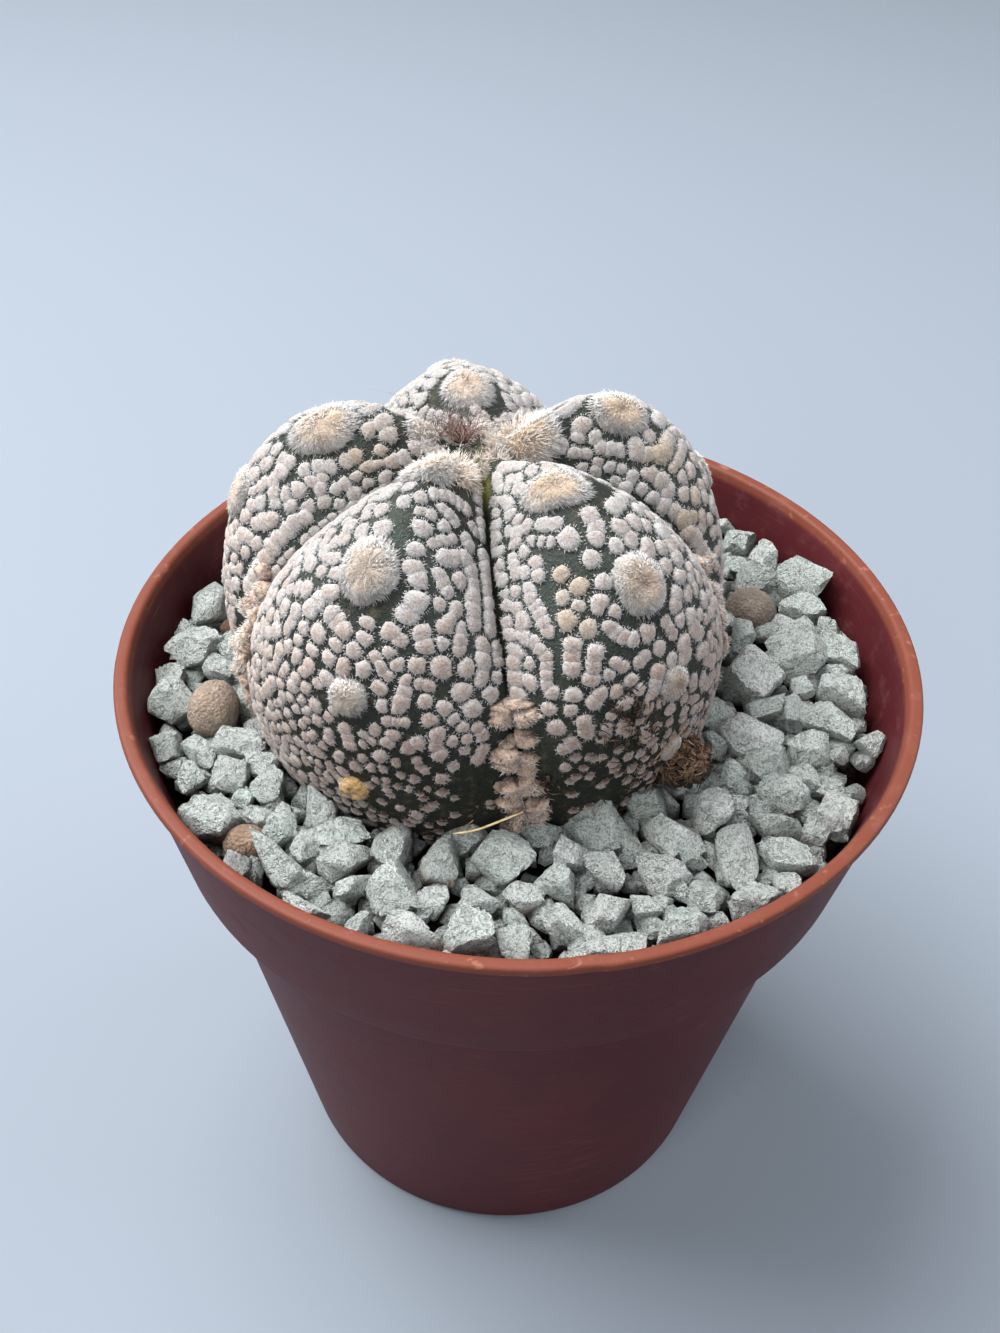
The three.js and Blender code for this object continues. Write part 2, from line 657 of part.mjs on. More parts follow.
function makeSoil() {
  const bottom = FOOT_RECESS + FLOOR_THICKNESS + GAP;
  const fill = toSolid(turned([
    [0, bottom],
    [FOOT_RADIUS - WALL - 1.6, bottom],
    [innerRadius(bottom + 1.4) - GAP, bottom + 1.4],
    [innerRadius(INNER_STEP_LOW) - GAP, INNER_STEP_LOW],
    [innerRadius(INNER_STEP_HIGH) - GAP, INNER_STEP_HIGH + GAP],
    [innerRadius(SOIL_TOP) - GAP, SOIL_TOP],
    [0, SOIL_TOP],
  ], POT_SIDES));
  return toGeometry(fill.subtract(plantCutter(8.4, GAP + 0.1, 20, 0.8)));
}

// A crumb of peat or a dry petal end: a small random hull
function crumbGeometry(random, middle, size) {
  const corners = [];
  for (let i = 0; i < 7; i += 1) {
    corners.push(new THREE.Vector3(random() - 0.5, random() - 0.5, random() - 0.5).normalize()
      .multiplyScalar(size * (0.8 + 0.4 * random())).add(middle));
  }
  return new ConvexGeometry(corners);
}

function ellipsoidPoint(random, { middle, size }, share) {
  const point = new THREE.Vector3(random() - 0.5, random() - 0.5, random() - 0.5).normalize();
  return new THREE.Vector3(
    middle[0] + point.x * share * size[0] / 2,
    middle[1] + point.y * share * size[1] / 2,
    middle[2] + point.z * share * size[2] / 2,
  );
}

// A round rod of three or four sides along a bent route
function rodGeometry(points, radius, sides, steps) {
  const section = new THREE.Shape();
  for (let i = 0; i < sides; i += 1) {
    const angle = i / sides * 2 * Math.PI;
    const x = radius * Math.cos(angle);
    const y = radius * Math.sin(angle);
    if (i === 0) section.moveTo(x, y);
    else section.lineTo(x, y);
  }
  section.closePath();
  const extrudePath = new THREE.CatmullRomCurve3(points);
  return new THREE.ExtrudeGeometry(section, { steps, extrudePath, bevelEnabled: false });
}

// The clump of peat and root fibre that clings to the plant at soil level
function makePeatClump() {
  const random = randomStream(PEAT_CLUMP.seed);
  const core = { ...PEAT_CLUMP, size: PEAT_CLUMP.size.map((length) => length * 0.8) };
  const pieces = [toSolid(pebbleGeometry(core, 0))];
  for (let i = 0; i < PEAT_CLUMP.crumbs; i += 1) {
    const middle = ellipsoidPoint(random, PEAT_CLUMP, 0.8);
    pieces.push(toSolid(crumbGeometry(random, middle, 0.55 + 0.4 * random())));
  }
  return joinAll(pieces);
}

// The dried flower ends: a small lump of chaff with curled hairs rooted in it
function makeFlowerRemains() {
  const random = randomStream(FLOWER_REMAINS.seed);
  const pieces = [toSolid(pebbleGeometry(FLOWER_REMAINS, 0))];
  for (let i = 0; i < FLOWER_REMAINS.curls; i += 1) {
    const start = ellipsoidPoint(random, FLOWER_REMAINS, 0.4);
    const lean = random() * 2 * Math.PI;
    const curl = 0.5 + random() * 0.9;
    const side = lean + (random() < 0.5 ? 1.5 : -1.5);
    const out = new THREE.Vector3(Math.cos(lean), Math.sin(lean), 0.9);
    const bend = new THREE.Vector3(Math.cos(side), Math.sin(side), 0);
    const points = [0, 1, 2, 3].map((step) => start.clone()
      .addScaledVector(out, step * 0.8)
      .addScaledVector(bend, curl * step * step * 0.16)
      .add(new THREE.Vector3(0, 0, -0.08 * step * step)));
    pieces.push(toSolid(rodGeometry(points, 0.2, 3, 3)));
  }
  return joinAll(pieces);
}

function makeModel() {
  const group = new THREE.Group();
  const cactus = makeCactus();
  const plantSolid = toSolid(cactus);
  const plantRoom = plantCutter(5.5, FLECK_LIFT + 2 * GAP, 40, 0.6);
  const peat = largestBody(makePeatClump().subtract(plantRoom));
  const peatRoom = toSolid(pebbleGeometry({ ...PEAT_CLUMP, seed: 1 }, 0.9));
  const straw = rodGeometry(STRAW_ROUTE.map((point) => new THREE.Vector3(...point)), STRAW_RADIUS, 4, 6);
  const bits = PEBBLES.map((pebble) => toSolid(pebbleGeometry(pebble, GAP)));
  addMesh(group, 'pot', makePot(), COLOURS.pot, 0.45);
  addMesh(group, 'soil', makeSoil(), COLOURS.soil, 1);
  addMesh(group, 'gravel', makeGravel(plantRoom, [...bits, peatRoom]), COLOURS.gravel, 0.9);
  addMesh(group, 'cactus', cactus, COLOURS.cactus, 0.85);
  for (const pebble of PEBBLES) {
    const colour = pebble.name === 'bark_bit' ? COLOURS.peat : COLOURS.clay;
    const solid = toSolid(pebbleGeometry(pebble, 0)).subtract(plantRoom);
    addMesh(group, pebble.name, toGeometry(largestBody(solid)), colour, 0.9);
  }
  addMesh(group, 'peat_clump', toGeometry(peat), COLOURS.peat, 1);
  addMesh(group, 'straw', straw, COLOURS.straw, 0.7);
  const remains = largestBody(makeFlowerRemains().subtract(plantSolid));
  addMesh(group, 'flower_remains', toGeometry(remains), COLOURS.flower, 0.9);
  return group;
}

export default makeModel();
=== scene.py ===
"""A five-ribbed star cactus with woolly flecks, in a brown nursery pot dressed with pale green gravel.

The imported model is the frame. Lengths in this file are millimetres until they go into a mesh.
"""

import bpy
import numpy as np
from mathutils import Matrix, Vector


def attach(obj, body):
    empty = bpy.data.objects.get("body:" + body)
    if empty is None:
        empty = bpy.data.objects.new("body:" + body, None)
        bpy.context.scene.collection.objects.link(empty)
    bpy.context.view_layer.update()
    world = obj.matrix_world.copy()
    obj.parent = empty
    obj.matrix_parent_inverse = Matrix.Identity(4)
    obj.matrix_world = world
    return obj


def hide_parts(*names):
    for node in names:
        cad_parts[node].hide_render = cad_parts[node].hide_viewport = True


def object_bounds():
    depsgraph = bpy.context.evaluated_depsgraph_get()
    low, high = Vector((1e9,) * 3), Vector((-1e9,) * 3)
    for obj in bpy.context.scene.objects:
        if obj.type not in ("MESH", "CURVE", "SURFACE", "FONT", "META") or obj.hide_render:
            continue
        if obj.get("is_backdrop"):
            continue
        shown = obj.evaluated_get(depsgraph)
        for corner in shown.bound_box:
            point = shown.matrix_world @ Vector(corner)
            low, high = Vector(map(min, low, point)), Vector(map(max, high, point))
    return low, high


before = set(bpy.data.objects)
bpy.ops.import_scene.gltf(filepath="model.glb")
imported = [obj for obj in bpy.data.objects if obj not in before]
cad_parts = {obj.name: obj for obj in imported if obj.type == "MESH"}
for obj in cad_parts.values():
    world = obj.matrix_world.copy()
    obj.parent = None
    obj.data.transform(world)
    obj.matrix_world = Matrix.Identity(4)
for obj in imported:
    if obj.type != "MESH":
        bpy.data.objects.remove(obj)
cad_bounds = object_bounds()

# Camera: a phone held above and in front of the pot, looking down over the rim at about forty degrees.
# It was solved from the outlines of the rim, the collar and the foot.
MM = 0.001
CAMERA_PLACE = (0.0, -126.8, 191.1)
CAMERA_AIM = (-0.01225, 0.73683, -0.67596)
CAMERA_TOP = (-0.04204, 0.67504, 0.73658)
CAMERA_LENS = 40.5

camera_data = bpy.data.cameras.new("camera")
camera_data.lens = CAMERA_LENS
camera_data.sensor_width = 36
camera_data.clip_start = 0.005
camera = bpy.data.objects.new("camera", camera_data)
camera_back = -Vector(CAMERA_AIM).normalized()
camera_right = Vector(CAMERA_TOP).cross(camera_back).normalized()
camera_up = camera_back.cross(camera_right)
camera_axes = Matrix((camera_right, camera_up, camera_back)).transposed()
camera.matrix_world = Matrix.Translation(Vector(CAMERA_PLACE) * MM) @ camera_axes.to_4x4()
bpy.context.scene.collection.objects.link(camera)
bpy.context.scene.camera = camera


# Light: a large soft skylight overhead and to the left, a weaker one on the right and in front,
# and a pale room all round. The floor is one plain pale sheet.
def add_light(name, place, size, power, colour):
    """A square area light at a place, turned to the middle of the plant."""
    data = bpy.data.lights.new(name, "AREA")
    data.size = size
    data.energy = power
    data.color = colour
    light = bpy.data.objects.new(name, data)
    light.location = place
    aim = Vector((0, 0, 0.08)) - Vector(place)
    light.rotation_euler = aim.to_track_quat("-Z", "Y").to_euler()
    bpy.context.scene.collection.objects.link(light)


add_light("window", (-0.32, 0.15, 0.66), 0.60, 14.6, (1.0, 0.99, 0.98))
add_light("right_fill", (0.55, 0.10, 0.36), 0.5, 2.8, (0.95, 0.97, 1.0))
add_light("front_fill", (-0.25, -0.55, 0.50), 0.4, 2.8, (1.0, 0.99, 0.98))

world = bpy.data.worlds.new("room")
world.use_nodes = True
world.node_tree.nodes["Background"].inputs["Color"].default_value = (0.94, 0.97, 1.0, 1)
world.node_tree.nodes["Background"].inputs["Strength"].default_value = 0.30
bpy.context.scene.world = world
bpy.context.scene.view_settings.view_transform = "Standard"


class Shade:
    """A socket in a material's tree. Arithmetic on it adds Math nodes; node() adds any other node."""

    def __init__(self, tree, socket=None):
        self.tree = tree
        self.socket = socket

    def node(self, kind, settings=None, out=0, **sockets):
        """One node: its settings first, then each socket, by identifier, takes a value or a link."""
        made = self.tree.nodes.new(kind)
        for name, value in (settings or {}).items():
            setattr(made, name, value)
        for name, value in sockets.items():
            socket = next(s for s in made.inputs if s.identifier.replace(" ", "_") == name)
            if isinstance(value, Shade):
                self.tree.links.new(value.socket, socket)
            else:
                socket.default_value = value
        return Shade(self.tree, made.outputs[out] if len(made.outputs) else None)

    def math(self, operation, first, second):
        return self.node("ShaderNodeMath", {"operation": operation}, Value=first, Value_001=second)

    def __add__(self, other):
        return self.math("ADD", self, other)

    def __radd__(self, other):
        return self.math("ADD", other, self)

    def __sub__(self, other):
        return self.math("SUBTRACT", self, other)

    def __rsub__(self, other):
        return self.math("SUBTRACT", other, self)

    def __mul__(self, other):
        return self.math("MULTIPLY", self, other)

    def __rmul__(self, other):
        return self.math("MULTIPLY", other, self)

    def band(self, low, high):
        """0 below low, 1 above high, and smooth between."""
        return self.node(
            "ShaderNodeMapRange", {"interpolation_type": "SMOOTHSTEP"},
            Value=self, From_Min=low, From_Max=high)

    def mix(self, first, second, factor, blend="MIX"):
        """Two colours blended by a factor."""
        return self.node(
            "ShaderNodeMix", {"data_type": "RGBA", "blend_type": blend}, out=2,
            Factor_Float=factor, A_Color=first, B_Color=second)

    def place(self, stretch=(1, 1, 1)):
        """The piece's own coordinates in millimetres, stretched along each axis."""
        here = self.node("ShaderNodeTexCoord", out=3)
        scale = tuple(axis / MM for axis in stretch)
        return self.node("ShaderNodeVectorMath", {"operation": "MULTIPLY"}, Vector=here, Vector_001=scale)

    def noise(self, where, scale, detail=2.0, roughness=0.5):
        """Cloudy noise from 0 to 1 with so many features to the millimetre."""
        return self.node(
            "ShaderNodeTexNoise", Vector=where, Scale=scale, Detail=detail, Roughness=roughness)

    def cells(self, where, scale):
        """Distance to the nearest of a scatter of points, so many to the millimetre."""
        return self.node("ShaderNodeTexVoronoi", Vector=where, Scale=scale)

    def tone(self, name):
        """A colour painted on the corners of the mesh."""
        return self.node("ShaderNodeAttribute", {"attribute_name": name})

    def bump(self, height, depth):
        """Relief of so many millimetres from a height of 0 to 1."""
        return self.node("ShaderNodeBump", Height=height, Distance=depth * MM, Strength=1.0)


def colour(red, green, blue):
    """A linear colour from the red, green and blue of 0 to 255 that a screen shows."""
    shown = np.array((red, green, blue)) / 255
    linear = np.where(shown <= 0.04045, shown / 12.92, ((shown + 0.055) / 1.055) ** 2.4)
    return (*linear.tolist(), 1.0)


def make_material(name, paint):
    """A material whose Principled sockets come from paint, which gets a Shade to add nodes with."""
    material = bpy.data.materials.new(name)
    material.use_nodes = True
    material.node_tree.nodes.clear()
    start = Shade(material.node_tree)
    shader = start.node("ShaderNodeBsdfPrincipled", **paint(start))
    start.node("ShaderNodeOutputMaterial", Surface=shader)
    return material


def floor_paint(start):
    return {"Base_Color": colour(122, 131, 142), "Roughness": 0.85}


floor_mesh = bpy.data.meshes.new("floor")
floor_mesh.from_pydata([(-3, -3, 0), (3, -3, 0), (3, 3, 0), (-3, 3, 0)], [], [(0, 1, 2, 3)])
floor = bpy.data.objects.new("floor", floor_mesh)
floor_mesh.materials.append(make_material("floor_sheet", floor_paint))
bpy.context.scene.collection.objects.link(floor)
floor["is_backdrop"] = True

# Pot: injection-moulded polypropylene, red-brown, with a flared collar that stiffens the mouth.
# The mould leaves a rolled lip, a foot ring and six drain holes. It is scuffed and a little dusty.
RIM_RADIUS = 45.0
POT_HEIGHT = 78.6
LIP_INNER_RADIUS = 43.0
LIP_ROLL = 1.0
LIP_DEPTH = 2.2
LIP_TUCK = 0.2
COLLAR_TOP_RADIUS = 44.2
COLLAR_BOTTOM_RADIUS = 40.7
COLLAR_BOTTOM = 58.9
BODY_TOP_RADIUS = 38.1
FOOT_RADIUS = 28.4
POT_WALL = 1.6
FLOOR_TOP = 3.2
DRAIN_HOLES = 6
DRAIN_RADIUS = 3.0
DRAIN_CIRCLE = 19.0


def rounded(corners, steps=7):
    """An outline from corners of radius, height and rounding.

    Each rounded corner becomes a parabola that starts and ends that far from it on its two sides.
    """
    points = np.array([corner[:2] for corner in corners], float)
    outline = [points[0]]
    for i in range(1, len(points) - 1):
        reach = corners[i][2]
        if reach == 0:
            outline.append(points[i])
            continue
        back = points[i - 1] - points[i]
        ahead = points[i + 1] - points[i]
        start = points[i] + back / np.linalg.norm(back) * reach
        end = points[i] + ahead / np.linalg.norm(ahead) * reach
        t = np.linspace(0, 1, steps)[:, None]
        outline.extend((1 - t) ** 2 * start + 2 * t * (1 - t) * points[i] + t * t * end)
    outline.append(points[-1])
    return np.array(outline)


def resampled(outline, spacing):
    """The same outline with extra points, so that no stretch is longer than the spacing."""
    made = [outline[:1]]
    for start, end in zip(outline[:-1], outline[1:]):
        count = max(1, int(np.ceil(np.linalg.norm(end - start) / spacing)))
        share = np.linspace(0, 1, count + 1)[1:, None]
        made.append(start + (end - start) * share)
    return np.concatenate(made)


def grid_faces(rows, columns, wraps=True):
    """Four-sided faces of a grid of corners, row by row; the last column joins the first if it wraps."""
    row = np.arange(rows - 1)[:, None]
    column = np.arange(columns if wraps else columns - 1)[None, :]
    beside = (column + 1) % columns
    corners = [row * columns + column, (row + 1) * columns + column,
               (row + 1) * columns + beside, row * columns + beside]
    return np.stack(np.broadcast_arrays(*corners), -1).reshape(-1, 4)


def add_piece(name, corners, faces, material, replaces=(), tones=None, sharp=None):
    """A piece from corners in millimetres and lists of faces, smooth but for edges sharper than sharp."""
    mesh = bpy.data.meshes.new(name)
    mesh.from_pydata(np.asarray(corners) * MM, [], [face for part in faces for face in part.tolist()])
    mesh.polygons.foreach_set("use_smooth", np.ones(len(mesh.polygons), bool))
    if sharp is not None:
        mesh.set_sharp_from_angle(angle=np.radians(sharp))
    for label, values in (tones or {}).items():
        layer = mesh.color_attributes.new(name=label, type="FLOAT_COLOR", domain="POINT")
        filled = np.ones((len(corners), 4))
        filled[:, :3] = values
        layer.data.foreach_set("color", filled.ravel())
    mesh.materials.append(material)
    piece = bpy.data.objects.new(name, mesh)
    bpy.context.scene.collection.objects.link(piece)
    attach(piece, "root")
    if replaces:
        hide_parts(*replaces)
    return piece


def ripple(places, seed, waves=7, finest=1.0):
    """Smooth noise from -1 to 1: a mean of sines along seeded directions, up to finest per unit."""
    draw = np.random.default_rng(seed)
    ways = draw.normal(size=(waves, places.shape[-1]))
    ways /= np.linalg.norm(ways, axis=1)[:, None]
    pace = draw.uniform(0.4, 1.0, waves) * finest * 2 * np.pi
    start = draw.uniform(0, 2 * np.pi, waves)
    return np.sin(places @ (ways * pace[:, None]).T + start).mean(-1) * 1.6


def pot_paint(start):
    where = start.place()
    streaks = start.noise(start.place((0.05, 0.05, 3.2)), 1.0, 3.0, 0.6)
    scratches = start.noise(start.place((0.12, 0.12, 9.0)), 1.0, 2.0, 0.5).band(0.66, 0.72)
    patches = start.noise(where, 0.045, 3.0, 0.6)
    grain = start.noise(where, 2.4, 2.0)
    height = start.node("ShaderNodeSeparateXYZ", out=2, Vector=where)
    dust = start.noise(where, 0.35, 5.0, 0.7).band(0.52, 0.72) * height.band(18.0, 74.0)
    lip = height.band(POT_HEIGHT - LIP_ROLL - 0.5, POT_HEIGHT - LIP_ROLL + 0.3)
    rubbed = start.noise(where, 0.6, 4.0, 0.65).band(0.6, 0.68) * lip
    body = start.mix(colour(66, 22, 27), colour(80, 30, 33), patches.band(0.3, 0.7))
    body = start.mix(body, colour(60, 20, 27), streaks.band(0.45, 0.75) * 0.5)
    # Painted glow and sheen: the lip is painted lighter and more orange than the body, standing in for
    # light through the thin rolled plastic and its sheen.
    body = start.mix(body, colour(106, 56, 42), lip * 0.92)
    body = start.mix(body, colour(170, 120, 100), rubbed * 0.25)
    body = start.mix(body, colour(196, 156, 148), scratches * patches.band(0.4, 0.6) * 0.22)
    body = start.mix(body, colour(160, 122, 118), dust * 0.08)
    rough = 0.44 + 0.16 * patches + 0.14 * dust + 0.08 * scratches
    relief = start.bump(grain * 0.5 + streaks * 0.8 + scratches * -0.5, 0.035)
    return {"Base_Color": body, "Roughness": rough, "Normal": relief, "Specular_IOR_Level": 0.16}


def make_pot():
    """The pot's wall: one outline of radius and height turned about the axis, with a few lip nicks."""
    corners = [
        (0, 1.6, 0), (24.8, 1.6, 0.5), (25.6, 0, 0.4), (FOOT_RADIUS - 0.3, 0, 1.1),
        (BODY_TOP_RADIUS, COLLAR_BOTTOM, 0.35), (COLLAR_BOTTOM_RADIUS, COLLAR_BOTTOM, 0.6),
        (COLLAR_TOP_RADIUS, POT_HEIGHT - LIP_ROLL - 0.25, 0.3), (RIM_RADIUS, POT_HEIGHT - LIP_ROLL, 0.3),
        (RIM_RADIUS, POT_HEIGHT, 0.5), (LIP_INNER_RADIUS + 0.55, POT_HEIGHT, 0.5),
        (LIP_INNER_RADIUS - LIP_TUCK, POT_HEIGHT - LIP_DEPTH, 0.3),
        (COLLAR_BOTTOM_RADIUS - POT_WALL, COLLAR_BOTTOM + 1.6 * POT_WALL, 0.5),
        (BODY_TOP_RADIUS - POT_WALL, COLLAR_BOTTOM + 0.6 * POT_WALL, 0.5),
        (FOOT_RADIUS - POT_WALL, FLOOR_TOP + 1, 0.8), (25.4, FLOOR_TOP, 0.6), (0, FLOOR_TOP, 0),
    ]
    outline = resampled(rounded(corners), 3.6)[1:-1]
    sides = 144
    angle = np.arange(sides) / sides * 2 * np.pi
    radius = outline[:, :1] + np.zeros(sides)
    height = outline[:, 1:] + np.zeros(sides)
    around = np.stack([np.cos(angle), np.sin(angle)], -1)
    on_lip = np.clip((height - (POT_HEIGHT - 2.4)) / 2, 0, 1)
    nicks = np.clip(ripple(around, 4, 9, 6.0) - 0.75, 0, 1)
    radius = radius - on_lip * nicks * 0.9
    height = height - on_lip * nicks * 0.5 + on_lip * 0.10 * ripple(around, 5, 6, 1.2)
    wall = np.stack([radius * np.cos(angle), radius * np.sin(angle), height], -1).reshape(-1, 3)
    rows = len(outline)
    under = len(wall)
    last_row = (rows - 1) * sides + np.arange(sides)
    first_row = np.arange(sides)
    corners = np.concatenate([wall, [[0, 0, 1.6], [0, 0, FLOOR_TOP]]])
    caps = np.concatenate([
        np.stack([np.full(sides, under), np.roll(first_row, -1), first_row], -1),
        np.stack([np.full(sides, under + 1), last_row, np.roll(last_row, -1)], -1)])
    faces = grid_faces(rows, sides)[:, ::-1]
    return corners, [faces, caps]


def drain_cutter():
    """Six short round rods that stand through the pot's floor."""
    sides = 28
    turn = np.arange(sides) / sides * 2 * np.pi
    ring = DRAIN_RADIUS * np.stack([np.cos(turn), np.sin(turn)], -1)
    corners = []
    faces = []
    for hole in range(DRAIN_HOLES):
        way = (hole + 0.5) / DRAIN_HOLES * 2 * np.pi
        middle = DRAIN_CIRCLE * np.array([np.cos(way), np.sin(way)])
        base = len(corners)
        corners.extend((*point, height) for height in (-2.0, 6.0) for point in ring + middle)
        faces.append(list(range(base, base + sides))[::-1])
        faces.append(list(range(base + sides, base + 2 * sides)))
        for i in range(sides):
            j = (i + 1) % sides
            faces.append([base + i, base + j, base + sides + j, base + sides + i])
    mesh = bpy.data.meshes.new("drain_cutter")
    mesh.from_pydata(np.array(corners) * MM, [], faces)
    cutter = bpy.data.objects.new("drain_cutter", mesh)
    bpy.context.scene.collection.objects.link(cutter)
    return cutter


pot_corners, pot_faces = make_pot()
pot_plastic = make_material("brown_polypropylene", pot_paint)
pot_piece = add_piece("pot_shell", pot_corners, pot_faces, pot_plastic, ["pot"])
cutter = drain_cutter()
cut = pot_piece.modifiers.new("drains", "BOOLEAN")
cut.object = cutter
cut.solver = "EXACT"
drilled = pot_piece.evaluated_get(bpy.context.evaluated_depsgraph_get())
pot_piece.data = bpy.data.meshes.new_from_object(drilled)
pot_piece.modifiers.clear()
bpy.data.objects.remove(cutter)
pot_piece.data.set_sharp_from_angle(angle=np.radians(50))


# Soil: peat-based potting mix, filled in loose and settled, seen only through the drain holes
# and down between stones. The solid from the frame keeps its shape and gets its crumb here.
def soil_paint(start):
    where = start.place()
    crumbs = start.cells(where, 1.1)
    fine = start.noise(where, 1.6, 5.0, 0.7)
    tint = start.mix(colour(38, 27, 20), colour(84, 62, 45), fine.band(0.35, 0.75))
    tint = start.mix(tint, colour(20, 14, 11), crumbs.band(0.35, 0.7))
    return {"Base_Color": tint, "Roughness": 0.95, "Normal": start.bump(fine - crumbs * 0.6, 0.5)}


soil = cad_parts["soil"]
soil.data.materials.clear()
soil.data.materials.append(make_material("potting_mix", soil_paint))

# Gravel: crushed zeolite, a pale mint green volcanic rock, sieved to chips of 3 to 8 mm.
# It is spread by hand over the soil, so the chips lie as they fall, with dark gaps between.
PLANT_X = -4.6
PLANT_Y = 2.0
# How far the plant reaches at gravel level, and the direction of its first rib's crest in degrees
PLANT_FOOT = 26.0
FIRST_CREST = -118
GRAVEL_SEED = 20
FRAME_STONES = 152
UNDER_STONES = 430
LEADING_LEVEL = 73.4
TOP_LEVEL = 73.0
UNDER_LEVEL = 71.4
# Stones in front and at the sides: x, y, size along and across, and turn in degrees. Points picked
# in the photo were turned into places in the bed by a reading aid, and rounded and adjusted by hand.
LEADING_STONES = np.array([
    [-30.3, -24.4, 7.2, 6.4, -10], [-30.5, -13.3, 6.6, 4, -5], [-30, -17.6, 4.2, 4.4, 0],
    [-25.9, -18.8, 4.2, 4, 30], [-22.6, -30.3, 8.4, 3.6, -28], [-16.9, -28.8, 6.2, 3.8, 35],
    [-15.9, -32, 5.2, 2.6, 30], [-17.8, -25.2, 6.2, 4, 12], [-21.6, -26.4, 3.2, 5.4, 0],
    [-25.2, -25.8, 3.6, 4.6, -15], [-20.9, -35, 5, 3, -30], [-12, -26.4, 4.3, 6.2, 5],
    [-11.4, -32.4, 5.8, 6, 0], [-7, -28.8, 5.2, 5.8, 30], [-4.4, -24.6, 4.8, 3.8, 38],
    [-3, -33, 5, 4.4, 10], [-10, -37.6, 6.8, 3.4, -6], [-4, -38, 7, 4.4, 0],
    [-0.6, -27.6, 6.6, 5.6, 15], [2.2, -22.6, 5.4, 3, -14], [8.9, -22.4, 6.6, 7.2, 20],
    [13.6, -18.9, 4.6, 4.8, 40], [16.2, -22.9, 7.6, 5.2, -28], [20.9, -20, 5.6, 5, 0],
    [22.9, -26, 4.8, 8, -12], [15.3, -28, 6, 4.6, -28], [10.3, -28.2, 3.8, 5.2, 24],
    [6.2, -26.8, 3.6, 5.2, -22], [5, -30.4, 4.8, 3.8, -15], [1.2, -32.6, 4.2, 3.6, 35],
    [9.9, -33.6, 5.6, 3.6, 24], [5.4, -35, 4.6, 3.6, -32], [10.2, -37.9, 8.6, 3.4, 12],
    [0.6, -38, 3.6, 4.2, 0], [16.8, -35, 5.8, 4, 22], [13.6, -32.4, 3.4, 2.8, 0],
    [19.7, -31, 4, 4.4, 0], [24.3, -31, 4.4, 5, -30], [28.3, -24.9, 6.6, 4, -12],
    [27.2, -20.8, 7.2, 2.8, -10], [28.9, -17, 6.4, 4.8, 5], [27.4, -12.8, 5.6, 4.8, 40],
    [26.6, -8.8, 7.6, 5.4, -8], [27.6, -4.4, 5.4, 3.2, -12], [32.4, -9.4, 4.6, 5.2, 0],
    [35.6, -5.4, 6.2, 4, -32], [31.2, -3.4, 4.2, 4.2, 20], [34.6, -18.8, 4.4, 6, -30],
    [33, 7, 7.8, 8.6, -22], [27.4, 1.4, 7.2, 6.4, -16], [36.6, 19.4, 7, 7.6, 60],
    [34.4, 15, 5.8, 5, 0], [37.8, 6.2, 4.6, 5, 0], [32.6, -0.2, 3.2, 3, 0],
    [37, -0.6, 6.2, 4.6, -20], [26.6, 8.4, 3, 5.4, 0], [-37.2, 10.6, 5.6, 7, 10],
    [-37.6, 2.6, 7, 5.2, 8], [-37.4, -6.4, 6.2, 5.8, 0], [-37.6, -13.6, 4, 4.4, 0],
    [-34.4, -18.4, 3.4, 3.6, 0],
])
# Where soil has stained the stones brown
SOILED_PLACES = np.array([[-9.6, -37.8], [-3.9, -38.0], [-6.6, -28.8], [2.0, -38.2]])
# What already lies in the bed and holds stones off: x, y, height and radius
BED_GUESTS = np.array([
    [-33.6, -8.2, 74.0, 3.2], [28.2, 14.2, 72.8, 3.1], [-27.3, -26.4, 72.6, 2.2],
    [-33.4, 6.6, 73.0, 1.9], [20.4, -14.2, 75.6, 2.6],
])


def wall_radius(height):
    """The collar's inner radius at a height: a straight taper between its two ends."""
    low = COLLAR_BOTTOM + 1.6 * POT_WALL
    share = (height - low) / (POT_HEIGHT - LIP_DEPTH - low)
    widening = LIP_INNER_RADIUS - COLLAR_BOTTOM_RADIUS + POT_WALL - LIP_TUCK
    return COLLAR_BOTTOM_RADIUS - POT_WALL + share * widening


def foot_radius(x, y):
    """How far the plant reaches at gravel level, in the direction of x and y from its axis."""
    direction = np.arctan2(y - PLANT_Y, x - PLANT_X)
    return PLANT_FOOT + 0.9 * np.cos(5 * (direction - np.radians(FIRST_CREST))) * 0.6


def scatter_stones(draw, stones, count, along_low, along_high, level, closeness):
    """Adds stones at random places that are clear of the others by a share of their widths."""
    made = [stones]
    places = stones[:, :2]
    widths = np.sqrt(stones[:, 3] * stones[:, 4])
    added = 0
    for _ in range(16000):
        if added == count:
            break
        along = along_low + (along_high - along_low) * draw.random() ** 1.6
        across = along * draw.uniform(0.62, 0.98)
        radius = np.sqrt(draw.random()) * (wall_radius(level) - 0.42 * along)
        way = draw.uniform(0, 2 * np.pi)
        place = radius * np.array([np.cos(way), np.sin(way)])
        from_plant = np.hypot(place[0] - PLANT_X, place[1] - PLANT_Y)
        if from_plant < foot_radius(*place) + 0.12 * along:
            continue
        width = np.sqrt(along * across)
        if (np.hypot(*(places - place).T) < closeness * (widths + width) / 2).any():
            continue
        turn = draw.uniform(0, np.pi)
        made.append([[*place, level, along, across, turn]])
        places = np.vstack([places, place])
        widths = np.append(widths, width)
        added += 1
    return np.vstack(made)


